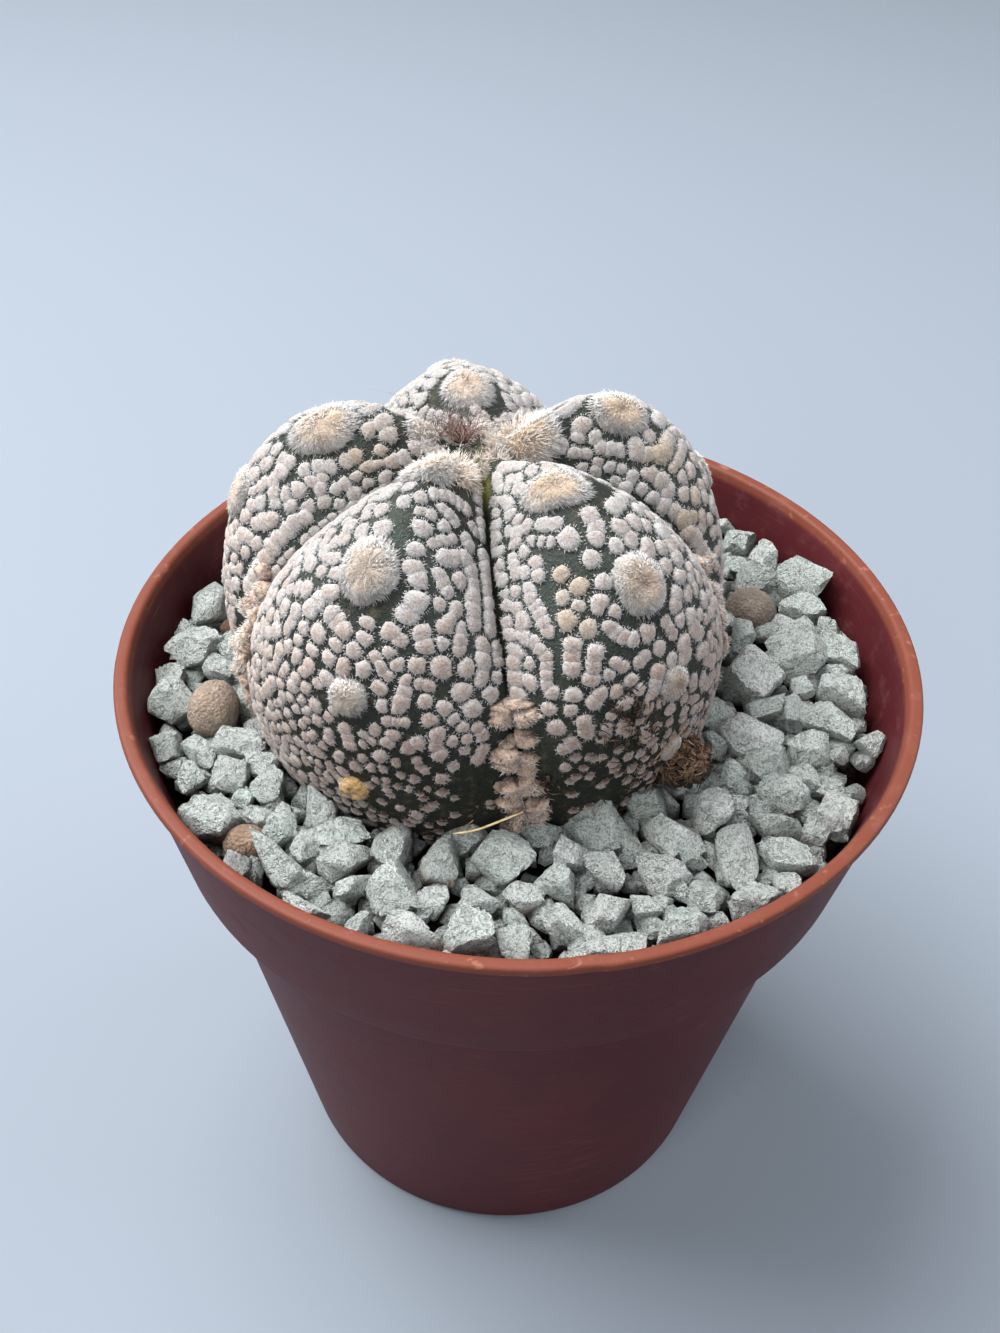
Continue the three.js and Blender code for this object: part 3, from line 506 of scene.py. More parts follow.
def settle(places, reach, fixed, steps=60):
    """Pushes overlapping stones apart, off the plant, off what is fixed, and inside the wall."""
    places = places.copy()
    for _ in range(steps):
        apart = places[:, None] - places[None]
        apart[..., 2] *= 1.25
        far = np.linalg.norm(apart, axis=-1) + 1e-6
        short = np.clip(reach[:, None] + reach[None] - far, 0, None)
        np.fill_diagonal(short, 0)
        places += (apart / far[..., None] * short[..., None]).sum(1) * np.array([0.2, 0.2, 0.1])
        off = places[:, None] - fixed[None, :, :3]
        far = np.linalg.norm(off, axis=-1) + 1e-6
        short = np.clip(reach[:, None] + fixed[None, :, 3] - far, 0, None)
        places += (off / far[..., None] * short[..., None]).sum(1) * np.array([0.5, 0.5, 0.3])
        from_plant = places[:, :2] - [PLANT_X, PLANT_Y]
        far = np.hypot(*from_plant.T)
        short = np.clip(foot_radius(*places[:, :2].T) + 0.75 * reach - far, 0, None)
        places[:, :2] += from_plant / far[:, None] * short[:, None]
        far = np.hypot(*places[:, :2].T)
        over = np.clip(far + 0.86 * reach - wall_radius(places[:, 2]), 0, None)
        places[:, :2] -= places[:, :2] / far[:, None] * over[:, None]
    return places


def cube_ball(per_side):
    """Directions and faces of a cube's grid blown to a ball, its shared edges merged."""
    line = np.linspace(-1, 1, per_side + 1)
    u, v = np.meshgrid(line, line, indexing="ij")
    one = np.ones_like(u)
    sides = [(one, u, v), (-one, v, u), (v, one, u), (u, -one, v), (u, v, one), (v, u, -one)]
    cube = np.concatenate([np.stack(side, -1).reshape(-1, 3) for side in sides])
    faces = []
    for side in range(6):
        faces.append(grid_faces(per_side + 1, per_side + 1, wraps=False) + side * (per_side + 1) ** 2)
    kept, where = np.unique(np.round(cube, 6), axis=0, return_inverse=True)
    faces = where.reshape(-1)[np.concatenate(faces)]
    ways = np.tan(kept * np.pi / 4)
    return ways / np.linalg.norm(ways, axis=1)[:, None], faces


def chip_shapes(draw, count, per_side):
    """Angular chips about the origin, a unit across, as a ball's grid pulled in to random planes.

    Each direction goes out to the nearest of thirteen seeded planes. A corner close to where two
    planes meet moves onto that edge, so the edges come out straight, and slow sines roughen all.
    """
    ways, faces = cube_ball(per_side)
    planes = 13
    index = np.arange(planes)
    rise = 1 - 2 * (index + 0.5) / planes
    turn = index * np.pi * (3 - np.sqrt(5))
    even = np.stack([np.sqrt(1 - rise**2) * np.cos(turn), np.sqrt(1 - rise**2) * np.sin(turn), rise], -1)
    normals = even + draw.normal(0, 0.36, (count, planes, 3))
    normals /= np.linalg.norm(normals, axis=-1)[..., None]
    reach = draw.uniform(0.34, 0.56, (count, planes))
    ways = np.broadcast_to(ways, (count, *ways.shape))
    chip = np.arange(count)[:, None]
    for _ in range(2):
        lean = np.einsum("nvk,npk->nvp", ways, normals) / reach[:, None]
        order = np.argsort(-lean, axis=-1)
        first, second = order[..., 0], order[..., 1]
        edge = (normals[chip, second] * reach[chip, first][..., None]
                - normals[chip, first] * reach[chip, second][..., None])
        edge /= np.linalg.norm(edge, axis=-1)[..., None]
        away = (ways * edge).sum(-1)
        near = (np.abs(away) < 0.62 / per_side)[..., None]
        ways = np.where(near, ways - edge * away[..., None], ways)
        ways = ways / np.linalg.norm(ways, axis=-1)[..., None]
    lean = (np.einsum("nvk,npk->nvp", ways, normals) / reach[:, None]).max(-1)
    shapes = ways / lean[..., None]
    seeds = draw.uniform(0, 40, (count, 1, 3))
    rough = 0.040 * ripple(shapes * 2.2 + seeds, 3, 9, 1.0) + 0.028 * ripple(shapes * 6 + seeds, 4, 9, 1.0)
    rough = rough + 0.022 * ripple(shapes * 11 + seeds, 5, 9, 1.0)
    shapes = shapes * (1 + rough)[..., None]
    size = np.ptp(shapes, axis=1)
    return shapes / size[:, None], faces


def turn_about(axis, angle):
    """Rotation matrices about one axis for an array of angles."""
    made = np.zeros((len(angle), 3, 3))
    one, two = (axis + 1) % 3, (axis + 2) % 3
    made[:, axis, axis] = 1
    made[:, one, one] = np.cos(angle)
    made[:, two, two] = np.cos(angle)
    made[:, one, two] = -np.sin(angle)
    made[:, two, one] = np.sin(angle)
    return made


def lay_stones(draw, stones, per_side, tall_low, tall_high):
    """Corners and faces of chips laid as stones says: place, size along and across, and turn."""
    shapes, faces = chip_shapes(draw, len(stones), per_side)
    width = np.sqrt(stones[:, 3] * stones[:, 4])
    tall = width * draw.uniform(tall_low, tall_high, len(stones))
    shapes = shapes * np.stack([stones[:, 3], stones[:, 4], tall], -1)[:, None]
    tips = [turn_about(2, stones[:, 5]), turn_about(0, draw.normal(0, 0.28, len(stones))),
            turn_about(1, draw.normal(0, 0.28, len(stones)))]
    shapes = np.einsum("nij,njk,nkl,nvl->nvi", tips[1], tips[2], tips[0], shapes)
    shapes = shapes + stones[:, None, :3]
    far = np.hypot(shapes[..., 0], shapes[..., 1])
    inside = np.minimum(1, (wall_radius(shapes[..., 2]) - 0.15) / far)
    shapes[..., :2] *= inside[..., None]
    offsets = np.arange(len(stones))[:, None, None] * shapes.shape[1]
    return shapes, (faces[None] + offsets).reshape(-1, 4)


def stone_tones(draw, shapes, stones):
    """Each stone's own tint with painted shade, darker low in the bed and on its underside, and stained
    brown by soil on a few lower sides.
    """
    count = len(stones)
    green = draw.normal(0, 1, (count, 1, 1))
    tint = 1 + 0.04 * draw.normal(0, 1, (count, 1, 1)) + green * np.array([-0.015, 0.0, -0.006])
    # Painted shade: stones darken with depth in the bed, towards dark gaps, and each is darker and warmer
    # on its underside.
    low = np.clip((73.0 - shapes[..., 2:]) / 3.2, 0, 1)
    under = np.clip((stones[:, None, 2:3] - shapes[..., 2:]) / 1.8, 0, 1)
    tint = 1.06 * tint * (1 - 0.72 * low) * (1 - 0.36 * under * [0.8, 1.0, 1.15])
    marked = np.hypot(*(stones[:, None, :2] - SOILED_PLACES).transpose(2, 0, 1)).min(1) < 2.6
    soiled = marked | (draw.random(count) < 0.05)
    beneath = stones[:, None, 2] - shapes[..., 2] - 0.35 * (shapes[..., 1] - stones[:, None, 1])
    beneath = beneath + 0.5 * ripple(shapes * 0.7, 9, 7, 1.0)
    stain = np.clip(beneath / 1.2, 0, 1) * soiled[:, None] * 0.85
    return tint * (1 - stain[..., None] * (1 - np.array([0.30, 0.19, 0.14])))


def gravel_paint(start):
    where = start.place()
    tone = start.tone("tone")
    clouds = start.noise(where, 0.4, 3.0, 0.6)
    grain = start.noise(where, 3.2, 4.0, 0.85)
    pores = start.noise(where, 1.2, 3.0, 0.6).band(0.52, 0.62)
    pits = start.noise(where, 4.6, 2.0, 0.6).band(0.55, 0.62)
    rock = start.mix(colour(228, 238, 235), colour(242, 248, 245), clouds.band(0.3, 0.7))
    rock = start.mix(rock, colour(140, 152, 143), grain.band(0.50, 0.58) * 0.46)
    rock = start.mix(rock, colour(112, 120, 110), pores * 0.32)
    rock = start.mix(rock, colour(84, 90, 80), pits * 0.5)
    rock = start.mix(rock, tone, 1.0, "MULTIPLY")
    relief = start.bump(grain * 1.6 + clouds * 0.6 - pores * 1.0 - pits * 0.6, 0.9)
    return {"Base_Color": rock, "Roughness": 0.95, "Normal": relief, "Specular_IOR_Level": 0.2}


zeolite = make_material("crushed_zeolite", gravel_paint)
stone_draw = np.random.default_rng(GRAVEL_SEED)
leading = np.column_stack([
    LEADING_STONES[:, :2], np.full(len(LEADING_STONES), LEADING_LEVEL), LEADING_STONES[:, 2:4],
    np.radians(LEADING_STONES[:, 4])])
large = scatter_stones(stone_draw, leading, FRAME_STONES - len(leading), 3.6, 6.2, TOP_LEVEL, 0.78)
large[:, 2] += stone_draw.uniform(-0.5, 0.5, len(large))
large[:, :3] = settle(large[:, :3], 0.40 * np.sqrt(large[:, 3] * large[:, 4]), BED_GUESTS)
large_shapes, large_faces = lay_stones(stone_draw, large, 8, 0.72, 1.0)
add_piece("gravel_chips", large_shapes.reshape(-1, 3), [large_faces], zeolite, ["gravel"],
          {"tone": stone_tones(stone_draw, large_shapes, large).reshape(-1, 3)}, sharp=32)

lower = scatter_stones(stone_draw, large[:0], UNDER_STONES, 2.8, 5.0, UNDER_LEVEL, 0.60)
lower[:, 2] += stone_draw.uniform(-0.8, 0.5, len(lower))
lower_shapes, lower_faces = lay_stones(stone_draw, lower, 3, 0.75, 1.05)
add_piece("gravel_under_layer", lower_shapes.reshape(-1, 3), [lower_faces], zeolite, (),
          {"tone": stone_tones(stone_draw, lower_shapes, lower).reshape(-1, 3)}, sharp=32)

# Cactus body: a living stem, one closed skin with five ribs that meet in tight grooves.
# It grows from the sunken point at the crown and tapers under the gravel to a short turnip root.
# Each rib has a crest and a valley direction in degrees; sink and reach shape its crest.
RIB_CREST = np.array([-118.0, -43.0, 28.0, 102.0, 168.0])
RIB_VALLEY = np.array([-84.0, -3.0, 63.0, 133.0, 200.0])
VALLEY_TURN = np.array([8.0, 0.0, 0.0, 0.0, -3.0])
CREST_SINK = np.array([0.0, 0.0, 0.0, 1.8, 0.0])
CREST_REACH = np.array([1.0, 1.0, 1.0, 1.0, 1.02])
CREST_OUTLINE = np.array([
    [0, 102.2], [4, 103.6], [9, 105.6], [14, 105.6], [19.5, 103], [24.5, 97.8], [27.6, 90.5],
    [28.4, 82], [26.8, 73], [21.5, 66], [15, 62.6], [8, 59], [6, 52], [4, 43], [2, 35], [0, 30]])
VALLEY_OUTLINE = np.array([
    [0, 102.2], [4, 101], [8.5, 99.6], [13, 97.7], [17.6, 95], [21.8, 90.8], [24.8, 85],
    [26, 78.5], [24.8, 71], [21, 66], [15, 62.6], [8, 59], [6, 52], [4, 43], [2, 35], [0, 30]])
GRAVEL_ROW = 8.2
LAST_ROW = 15.0
GROOVE_PRESS = 0.55
GROOVE_HALF_WIDTH = 0.17
# The areoles: rib, degrees off its crest, row, half width, half length, height, length of hair,
# shares of gold, brown and dimple, and turn in degrees
AREOLES = np.array([
    [0, -2, 1.81, 4.8, 3.0, 1.6, 1.4, 0.60, 0.05, 0.0, 0],
    [0, 0, 4.30, 3.05, 3.4, 1.5, 0.9, 0.12, 0.12, 0.1, 0],
    [0, 3, 5.93, 2.1, 2.0, 1.4, 0.8, 0.05, 0.35, 0.1, 0],
    [0, 4, 7.30, 1.7, 1.6, 1.3, 0.5, 2.00, 1.00, 0.0, 0],
    [1, -8, 2.62, 4.2, 2.3, 1.2, 1.0, 0.70, 0.06, 0.3, 38],
    [1, -3, 4.68, 2.85, 3.3, 1.3, 0.8, 0.45, 0.15, 0.3, 0],
    [1, -1, 6.13, 1.9, 2.0, 1.2, 0.7, 0.45, 0.45, 0.2, 0],
    [1, 0, 7.20, 1.5, 1.6, 0.8, 0.4, 0.30, 0.60, 0.0, 0],
    [2, -5, 1.18, 3.9, 3.4, 1.5, 1.6, 0.95, 0.08, 0.0, 0],
    [2, -6, 3.25, 2.7, 3.5, 1.3, 1.1, 0.75, 0.15, 0.3, 0],
    [2, -2, 5.60, 2.4, 2.4, 1.3, 0.7, 0.50, 0.25, 0.1, 0],
    [2, 0, 7.20, 1.6, 1.6, 0.8, 0.5, 0.30, 0.60, 0.0, 0],
    [3, 0, 2.30, 3.8, 3.3, 1.2, 1.1, 0.70, 0.15, 0.45, 0],
    [3, 0, 4.60, 3.0, 3.2, 1.3, 0.8, 0.45, 0.20, 0.1, 0],
    [3, 0, 6.20, 2.1, 2.1, 1.2, 0.7, 0.30, 0.40, 0.1, 0],
    [3, 0, 7.45, 1.5, 1.5, 0.8, 0.5, 0.30, 0.70, 0.0, 0],
    [4, 0, 1.45, 2.2, 2.0, 0.8, 0.9, 0.00, 0.00, 0.0, 0],
    [4, 7, 3.46, 2.9, 4.2, 1.2, 1.1, 0.55, 0.08, 0.1, 0],
    [4, 7, 5.37, 3.0, 3.0, 1.3, 0.7, 0.35, 0.20, 0.1, 0],
    [4, 3, 7.00, 1.8, 1.9, 1.0, 0.5, 0.30, 0.60, 0.0, 0],
])


def along_outline(outline, row):
    """Catmull-Rom curve through the outline's points; row 0 is the first, row 1 the second."""
    first = 2 * outline[0] - outline[1]
    last = 2 * outline[-1] - outline[-2]
    points = np.vstack([first, outline, last])
    at = np.clip(row, 0, len(outline) - 1 - 1e-9)
    start = np.floor(at).astype(int)
    t = (at - start)[..., None]
    a, b, c, d = (points[start + i] for i in range(4))
    return 0.5 * (2 * b + (c - a) * t + (2 * a - 5 * b + 4 * c - d) * t**2
                  + (3 * b - a - 3 * c + d) * t**3)


def wrapped(degrees):
    """Degrees brought to between -180 and 180."""
    return (degrees + 180) % 360 - 180


def valley_ways(row):
    """The direction of every groove at a row, in degrees; a groove turns more the lower it runs."""
    return RIB_VALLEY + VALLEY_TURN * np.clip(np.asarray(row) / GRAVEL_ROW, 0, 1)[..., None] ** 1.8


def rib_under(row, radians):
    """The rib below a direction: its number, the share from crest 0 to valley 1, and the signed angle
    in degrees from its crest to the valley on that side."""
    degrees = np.degrees(radians)[..., None]
    offset = wrapped(degrees - RIB_CREST)
    valley = valley_ways(row)
    side = wrapped(np.where(offset >= 0, valley, np.roll(valley, 1, -1)) - RIB_CREST)
    share = np.abs(offset / side)
    rib = share.argmin(-1)
    picked = rib[..., None]
    share = np.clip(np.take_along_axis(share, picked, -1)[..., 0], 0, 1)
    return rib, share, np.take_along_axis(side, picked, -1)[..., 0]


def body_point(row, radians):
    """The skin at a row and a direction: the crest outline blended into the valley outline.

    The blend is the share from crest to valley to a power that grows from 1.35 to 2.25 down the
    rib, so that the ribs are round-shouldered below and meet in a V at the crown.
    """
    row, radians = np.broadcast_arrays(np.asarray(row, float), np.asarray(radians, float))
    rib, share, _ = rib_under(row, radians)
    crest = along_outline(CREST_OUTLINE, row)
    valley = along_outline(VALLEY_OUTLINE, row)
    crest[..., 1] -= CREST_SINK[rib] * np.sin(np.pi * np.clip(row / 6.5, 0, 1))
    crest[..., 0] *= 1 + (CREST_REACH[rib] - 1) * np.sin(np.pi * np.clip(row / 9, 0, 1))
    power = 1.35 + 0.9 * np.clip((row - 1.65) / 4.4, 0, 1)
    blend = (share**power)[..., None]
    profile = crest + (valley - crest) * blend
    radius = np.clip(profile[..., 0], 0, None)
    return np.stack([
        PLANT_X + radius * np.cos(radians), PLANT_Y + radius * np.sin(radians), profile[..., 1]], -1)


def body_frame(row, radians):
    """How the skin runs at a place, from small differences: down the rib, round it, and out of it."""
    nudge = 0.02
    down = (body_point(row + nudge, radians) - body_point(row - nudge, radians)) / (2 * nudge)
    round_it = (body_point(row, radians + nudge) - body_point(row, radians - nudge)) / (2 * nudge)
    out = np.cross(down, round_it)
    out /= np.linalg.norm(out, axis=-1)[..., None]
    return down, round_it, out


def unit(vectors):
    """Vectors brought to a length of 1."""
    return vectors / (np.linalg.norm(vectors, axis=-1)[..., None] + 1e-9)


def step_along(row, radians, roundwards, downwards):
    """The place so many millimetres round and down the skin from another, kept on its own rib.

    The step is taken on the plane that touches the skin, then dropped to the skin by two Newton
    steps, which solve for the row and the direction along the skin's own two ways.
    """
    down, round_it, _ = body_frame(row, radians)
    down_way = unit(down)
    round_way = unit(round_it - (round_it * down_way).sum(-1)[..., None] * down_way)
    target = body_point(row, radians) + roundwards[..., None] * round_way + downwards[..., None] * down_way
    rib, _, side = rib_under(row, radians)
    crest = RIB_CREST[rib]
    low = np.minimum(side, 0) * 0.985 - (side > 0) * 60
    high = np.maximum(side, 0) * 0.985 + (side < 0) * 60
    for _ in range(2):
        short = target - body_point(row, radians)
        down_square = (down**2).sum(-1)
        round_square = (round_it**2).sum(-1)
        both = (down * round_it).sum(-1)
        down_short = (short * down).sum(-1)
        round_short = (short * round_it).sum(-1)
        size = down_square * round_square - both**2 + 1e-9
        row = row + np.clip((round_square * down_short - both * round_short) / size, -1.5, 1.5)
        row = np.clip(row, 0.1, LAST_ROW - 0.5)
        turned = radians + np.clip((down_square * round_short - both * down_short) / size, -0.6, 0.6)
        offset = np.clip(wrapped(np.degrees(turned) - crest), low, high)
        radians = np.radians(crest + offset)
        down, round_it, _ = body_frame(row, radians)
    return row, radians


def beside_areoles(places):
    """How far places are from every areole's outline, and how much they are on its lower right side."""
    way = np.radians(RIB_CREST[AREOLES[:, 0].astype(int)] + AREOLES[:, 1])
    down, round_it, _ = body_frame(AREOLES[:, 2], way)
    off = places[..., None, :] - body_point(AREOLES[:, 2], way)
    across = (off * unit(round_it)).sum(-1)
    along = (off * unit(down)).sum(-1)
    far = np.hypot(across, along) + 1e-6
    side = (0.6 * across + 0.7 * along) / far
    turn = np.radians(AREOLES[:, 10])
    wide = across * np.cos(turn) + along * np.sin(turn)
    long = along * np.cos(turn) - across * np.sin(turn)
    edge = far - np.hypot(wide * AREOLES[:, 3], long * AREOLES[:, 4]) / far
    return edge, side


def areole_shadow(places):
    """Painted shadow of each areole, over the darker bare skin round it: how close a place is to an areole,
    most on its lower right side: 1 beside it, 0 at about 5 mm.
    """
    edge, side = beside_areoles(places)
    return (np.clip(0.35 + side, 0, 1) * np.clip(1.15 - edge / 4.5, 0, 1)).max(-1)


def make_skin():
    """The skin on a grid whose columns keep to the grooves: rows down, shares across each rib.

    The groove is pressed in as a bell curve of the distance from its middle.
    """
    rows = np.concatenate([
        np.linspace(0, 1, 12)[1:], np.linspace(1, GRAVEL_ROW + 0.6, 112)[1:],
        np.linspace(GRAVEL_ROW + 0.6, LAST_ROW, 22)[1:-1]])
    half = np.array([0.06, 0.14, 0.24, 0.34, 0.44, 0.54, 0.63, 0.71, 0.78, 0.84, 0.89, 0.925, 0.95,
                     0.968, 0.982, 0.992, 1.0])
    shares = np.concatenate([-half[-2::-1], [0], half])
    row = rows[:, None] + np.zeros(5 * len(shares))
    rib = np.repeat(np.arange(5), len(shares))
    share = np.tile(shares, 5)
    after = wrapped(valley_ways(rows) - RIB_CREST)
    before = wrapped(np.roll(valley_ways(rows), 1, 1) - RIB_CREST)
    side = np.where(share > 0, after[:, rib], -before[:, rib])
    radians = np.radians(RIB_CREST[rib] + side * share)
    grid = body_point(row, radians)
    middle = np.array([PLANT_X, PLANT_Y])
    radius = np.hypot(*(grid[..., :2] - middle).T).T
    from_groove = np.radians(np.abs(side)) * radius * (1 - np.abs(share))
    press = GROOVE_PRESS * np.exp(-(from_groove / GROOVE_HALF_WIDTH) ** 2)
    press = press * np.clip(row / 1.5, 0, 1) * np.clip((9 - row) / 2, 0, 1)
    inward = 1 - press / np.clip(radius, 3, None)
    grid[..., :2] = middle + (grid[..., :2] - middle) * inward[..., None]
    grid[..., 2] -= press * np.clip((5 - row) / 5, 0, 1)
    grid += 0.10 * ripple(grid * 0.55, 21, 9, 1.0)[..., None] * body_frame(row, radians)[2]
    columns = grid.shape[1]
    top = body_point(0.0, 0.0)
    tip = body_point(LAST_ROW, 0.0)
    corners = np.concatenate([grid.reshape(-1, 3), [top, tip]])
    first_row = np.arange(columns)
    last_row = (len(rows) - 1) * columns + first_row
    caps = np.concatenate([
        np.stack([np.full(columns, len(corners) - 2), first_row, np.roll(first_row, -1)], -1),
        np.stack([np.full(columns, len(corners) - 1), np.roll(last_row, -1), last_row], -1)])
    in_front = np.exp(-(from_groove / 0.4) ** 2) * (np.abs(radians - np.radians(RIB_VALLEY[0])) < 0.3)
    young = np.maximum(np.clip(0.6 - row, 0, 1), 0.8 * in_front * np.clip((1.75 - row) / 0.7, 0, 1))
    # Painted shade: the skin darkens from row 4.4 down, where the ribs turn under, and in the painted
    # shadow beside each areole.
    dark = np.maximum(np.clip((row - 4.4) / 2.4, 0, 1), areole_shadow(grid.reshape(-1, 3)).reshape(row.shape))
    # Painted shade in the crease of every groove.
    groove_shade = np.exp(-(from_groove / 0.35) ** 2)
    tone = np.stack([young, dark, groove_shade], -1).reshape(-1, 3)
    tone = np.concatenate([tone, [[1, 0, 0], [0, 1, 0]]])
    return corners, [grid_faces(len(rows), columns), caps], tone


def skin_paint(start):
    where = start.place()
    young, dark, groove = (
        start.node("ShaderNodeSeparateColor", out=channel, Color=start.tone("tone"))
        for channel in range(3))
    clouds = start.noise(where, 0.16, 4.0, 0.6)
    grain = start.noise(where, 3.4, 4.0, 0.75)
    points = start.cells(where, 4.2)
    speck = start.noise(where, 7.0, 1.0)
    skin = start.mix(colour(31, 39, 35), colour(46, 55, 49), clouds.band(0.35, 0.68))
    skin = start.mix(skin, colour(76, 84, 78), grain.band(0.5, 0.62) * 0.45)
    skin = start.mix(skin, colour(104, 110, 102), (1 - points.band(0.08, 0.26)) * 0.55)
    skin = start.mix(skin, colour(84, 90, 84), speck.band(0.56, 0.7) * 0.5)
    # Painted shade: near black low on the body and beside the areoles, as the tone's second channel gives.
    skin = start.mix(skin, colour(18, 20, 16), dark * 0.72)
    mottled = start.noise(where, 0.9, 5.0, 0.7).band(0.5, 0.68)
    skin = start.mix(skin, colour(92, 86, 66), mottled * dark * 0.5)
    # Painted shade: darker in the crease of every groove.
    skin = start.mix(skin, colour(34, 34, 24), groove * 0.7)
    skin = start.mix(skin, colour(176, 176, 92), young * 0.9)
    relief = start.bump(grain * 0.9 + points * 0.6 + speck * 0.5, 0.12)
    return {"Base_Color": skin, "Roughness": 0.46 + 0.16 * grain, "Normal": relief,
            "Specular_IOR_Level": 0.24}


skin_corners, skin_faces, skin_tone = make_skin()
add_piece("cactus_body", skin_corners, skin_faces, make_material("cactus_epidermis", skin_paint),
          ["cactus"], {"tone": skin_tone})

# Areoles: felted pads of wool along each crest, where the spines of other star cacti would stand.
# The youngest, at the crown, have long silky golden hair; old ones are flat, tan and dirty.
WOOL_WHITE = np.array(colour(238, 234, 230)[:3])
WOOL_BEIGE = np.array(colour(226, 212, 198)[:3])
WOOL_GOLD = np.array(colour(236, 208, 176)[:3])
PAD_SHADE = 0.57
WOOL_BROWN = np.array(colour(116, 82, 58)[:3])
WOOL_RUST = np.array(colour(206, 170, 108)[:3])
HAIR_WIDTH = 0.042
FRINGE_WIDTH = 0.052
HAIR_CEILING = 107.1


def blended(first, second, share):
    """A value on the way from the first to the second, by a share."""
    return first + (second - first) * share


def dome_rise(share, flat):
    """How high a pad stands at a share of its half width: 1 in the middle, 0 at the rim."""
    return np.clip(1 - share**flat, 0, 1) ** 0.7


def domes(row, radians, half_width, half_length, height, sides, rings, lobes, flat, seed,
          turns=0.0, outline=1.0):
    """Rounded pads standing on the skin, as grids of rings from a pole to a tucked-in foot.

    Ring s of a pad lies s times its half sizes from the middle, its outline waved by lobes, and
    stands height * dome_rise(s) out of the skin. Returns corners, faces, s and the spokes: how far
    round and down each corner lies from its pad's middle, and a number of the pad's own.
    """
    draw = np.random.default_rng(seed)
    count = len(row)
    reach = np.array(rings)
    angle = np.arange(sides) / sides * 2 * np.pi
    wave = np.zeros((count, 1, sides)) + outline
    for order in range(2, 6):
        start = draw.uniform(0, 2 * np.pi, (count, 1, 1))
        size = lobes * draw.uniform(0.2, 1, (count, 1, 1)) / order**0.5
        wave = wave + size * np.sin(order * angle + start)
    wave = wave + draw.normal(0, lobes * 0.35, (count, 1, sides))
    scale = wave * np.where(reach > 1, 2 - reach, reach)[None, :, None]
    wide = half_width[:, None, None] * scale * np.cos(angle)
    long = half_length[:, None, None] * scale * np.sin(angle)
    turns = (turns + np.zeros(count))[:, None, None]
    roundwards = wide * np.cos(turns) - long * np.sin(turns)
    downwards = wide * np.sin(turns) + long * np.cos(turns)
    base_row = row[:, None, None] + np.zeros_like(scale)
    base_way = radians[:, None, None] + np.zeros_like(scale)
    at_row, at_way = step_along(base_row, base_way, roundwards, downwards)
    out = body_frame(row, radians)[2][:, None, None]
    rise = height[:, None, None] * dome_rise(reach, flat)[None, :, None]
    rise = np.where(reach[None, :, None] > 1, -0.12, rise)
    grid = body_point(at_row, at_way) + out * rise[..., None]
    pole = body_point(row, radians) + out[:, 0, 0] * height[:, None]
    per_pad = len(reach) * sides + 1
    corners = np.concatenate([grid.reshape(count, -1, 3), pole[:, None]], 1)
    ring_faces = grid_faces(len(reach), sides)
    first_ring = np.arange(sides)
    cap = np.stack([np.full(sides, per_pad - 1), first_ring, np.roll(first_ring, -1)], -1)
    last_ring = (len(reach) - 1) * sides + first_ring
    base = np.arange(count)[:, None] * per_pad
    faces = [(ring_faces[None] + base[..., None]).reshape(-1, 4),
             (cap[None] + base[..., None]).reshape(-1, 3), base + last_ring[::-1]]
    share = np.concatenate([np.repeat(reach, sides), [0.0]])
    spokes = np.stack([roundwards, downwards], -1).reshape(count, -1, 2)
    spokes = np.concatenate([spokes, np.zeros((count, 1, 2))], 1)
    own = np.broadcast_to(draw.uniform(0, 50, (count, 1, 1)), (count, per_pad, 1))
    return corners, faces, share, np.concatenate([spokes, own], -1).reshape(-1, 3)


def hairs(roots, ways, lengths, width, bends, joints):
    """Tapered three-sided hairs: place(t) = root + length * (way * t + bend * t^2), closed at both ends."""
    count = len(roots)
    t = np.arange(joints) / joints
    path = roots[:, None] + lengths[:, None, None] * (
        ways[:, None] * t[:, None] + bends[:, None] * (t**2)[:, None])
    tip = roots + lengths[:, None] * (ways + bends)
    side = unit(np.cross(ways, np.roll(ways, 1, -1) + [0.31, -0.17, 0.23]))
    other = np.cross(ways, side)
    turn = np.arange(3) / 3 * 2 * np.pi
    ring = side[:, None] * np.cos(turn)[:, None] + other[:, None] * np.sin(turn)[:, None]
    thick = width * (1 - 0.55 * t)
    tube = path[:, :, None] + ring[:, None] * thick[:, None, None]
    corners = np.concatenate([tube.reshape(count, -1, 3), tip[:, None]], 1)
    corners[..., 2] = np.minimum(corners[..., 2], HAIR_CEILING)
    per_hair = 3 * joints + 1
    base = np.arange(count)[:, None, None] * per_hair
    last = 3 * (joints - 1)
    ends = np.array([[0, 2, 1]])
    point = np.array([[last + i, last + (i + 1) % 3, per_hair - 1] for i in range(3)])
    faces = [(base + ends).reshape(-1, 3), (base + point).reshape(-1, 3)]
    if joints > 1:
        walls = grid_faces(joints, 3)[:, ::-1]
        faces.append((base + walls).reshape(-1, 4))
    return corners, faces


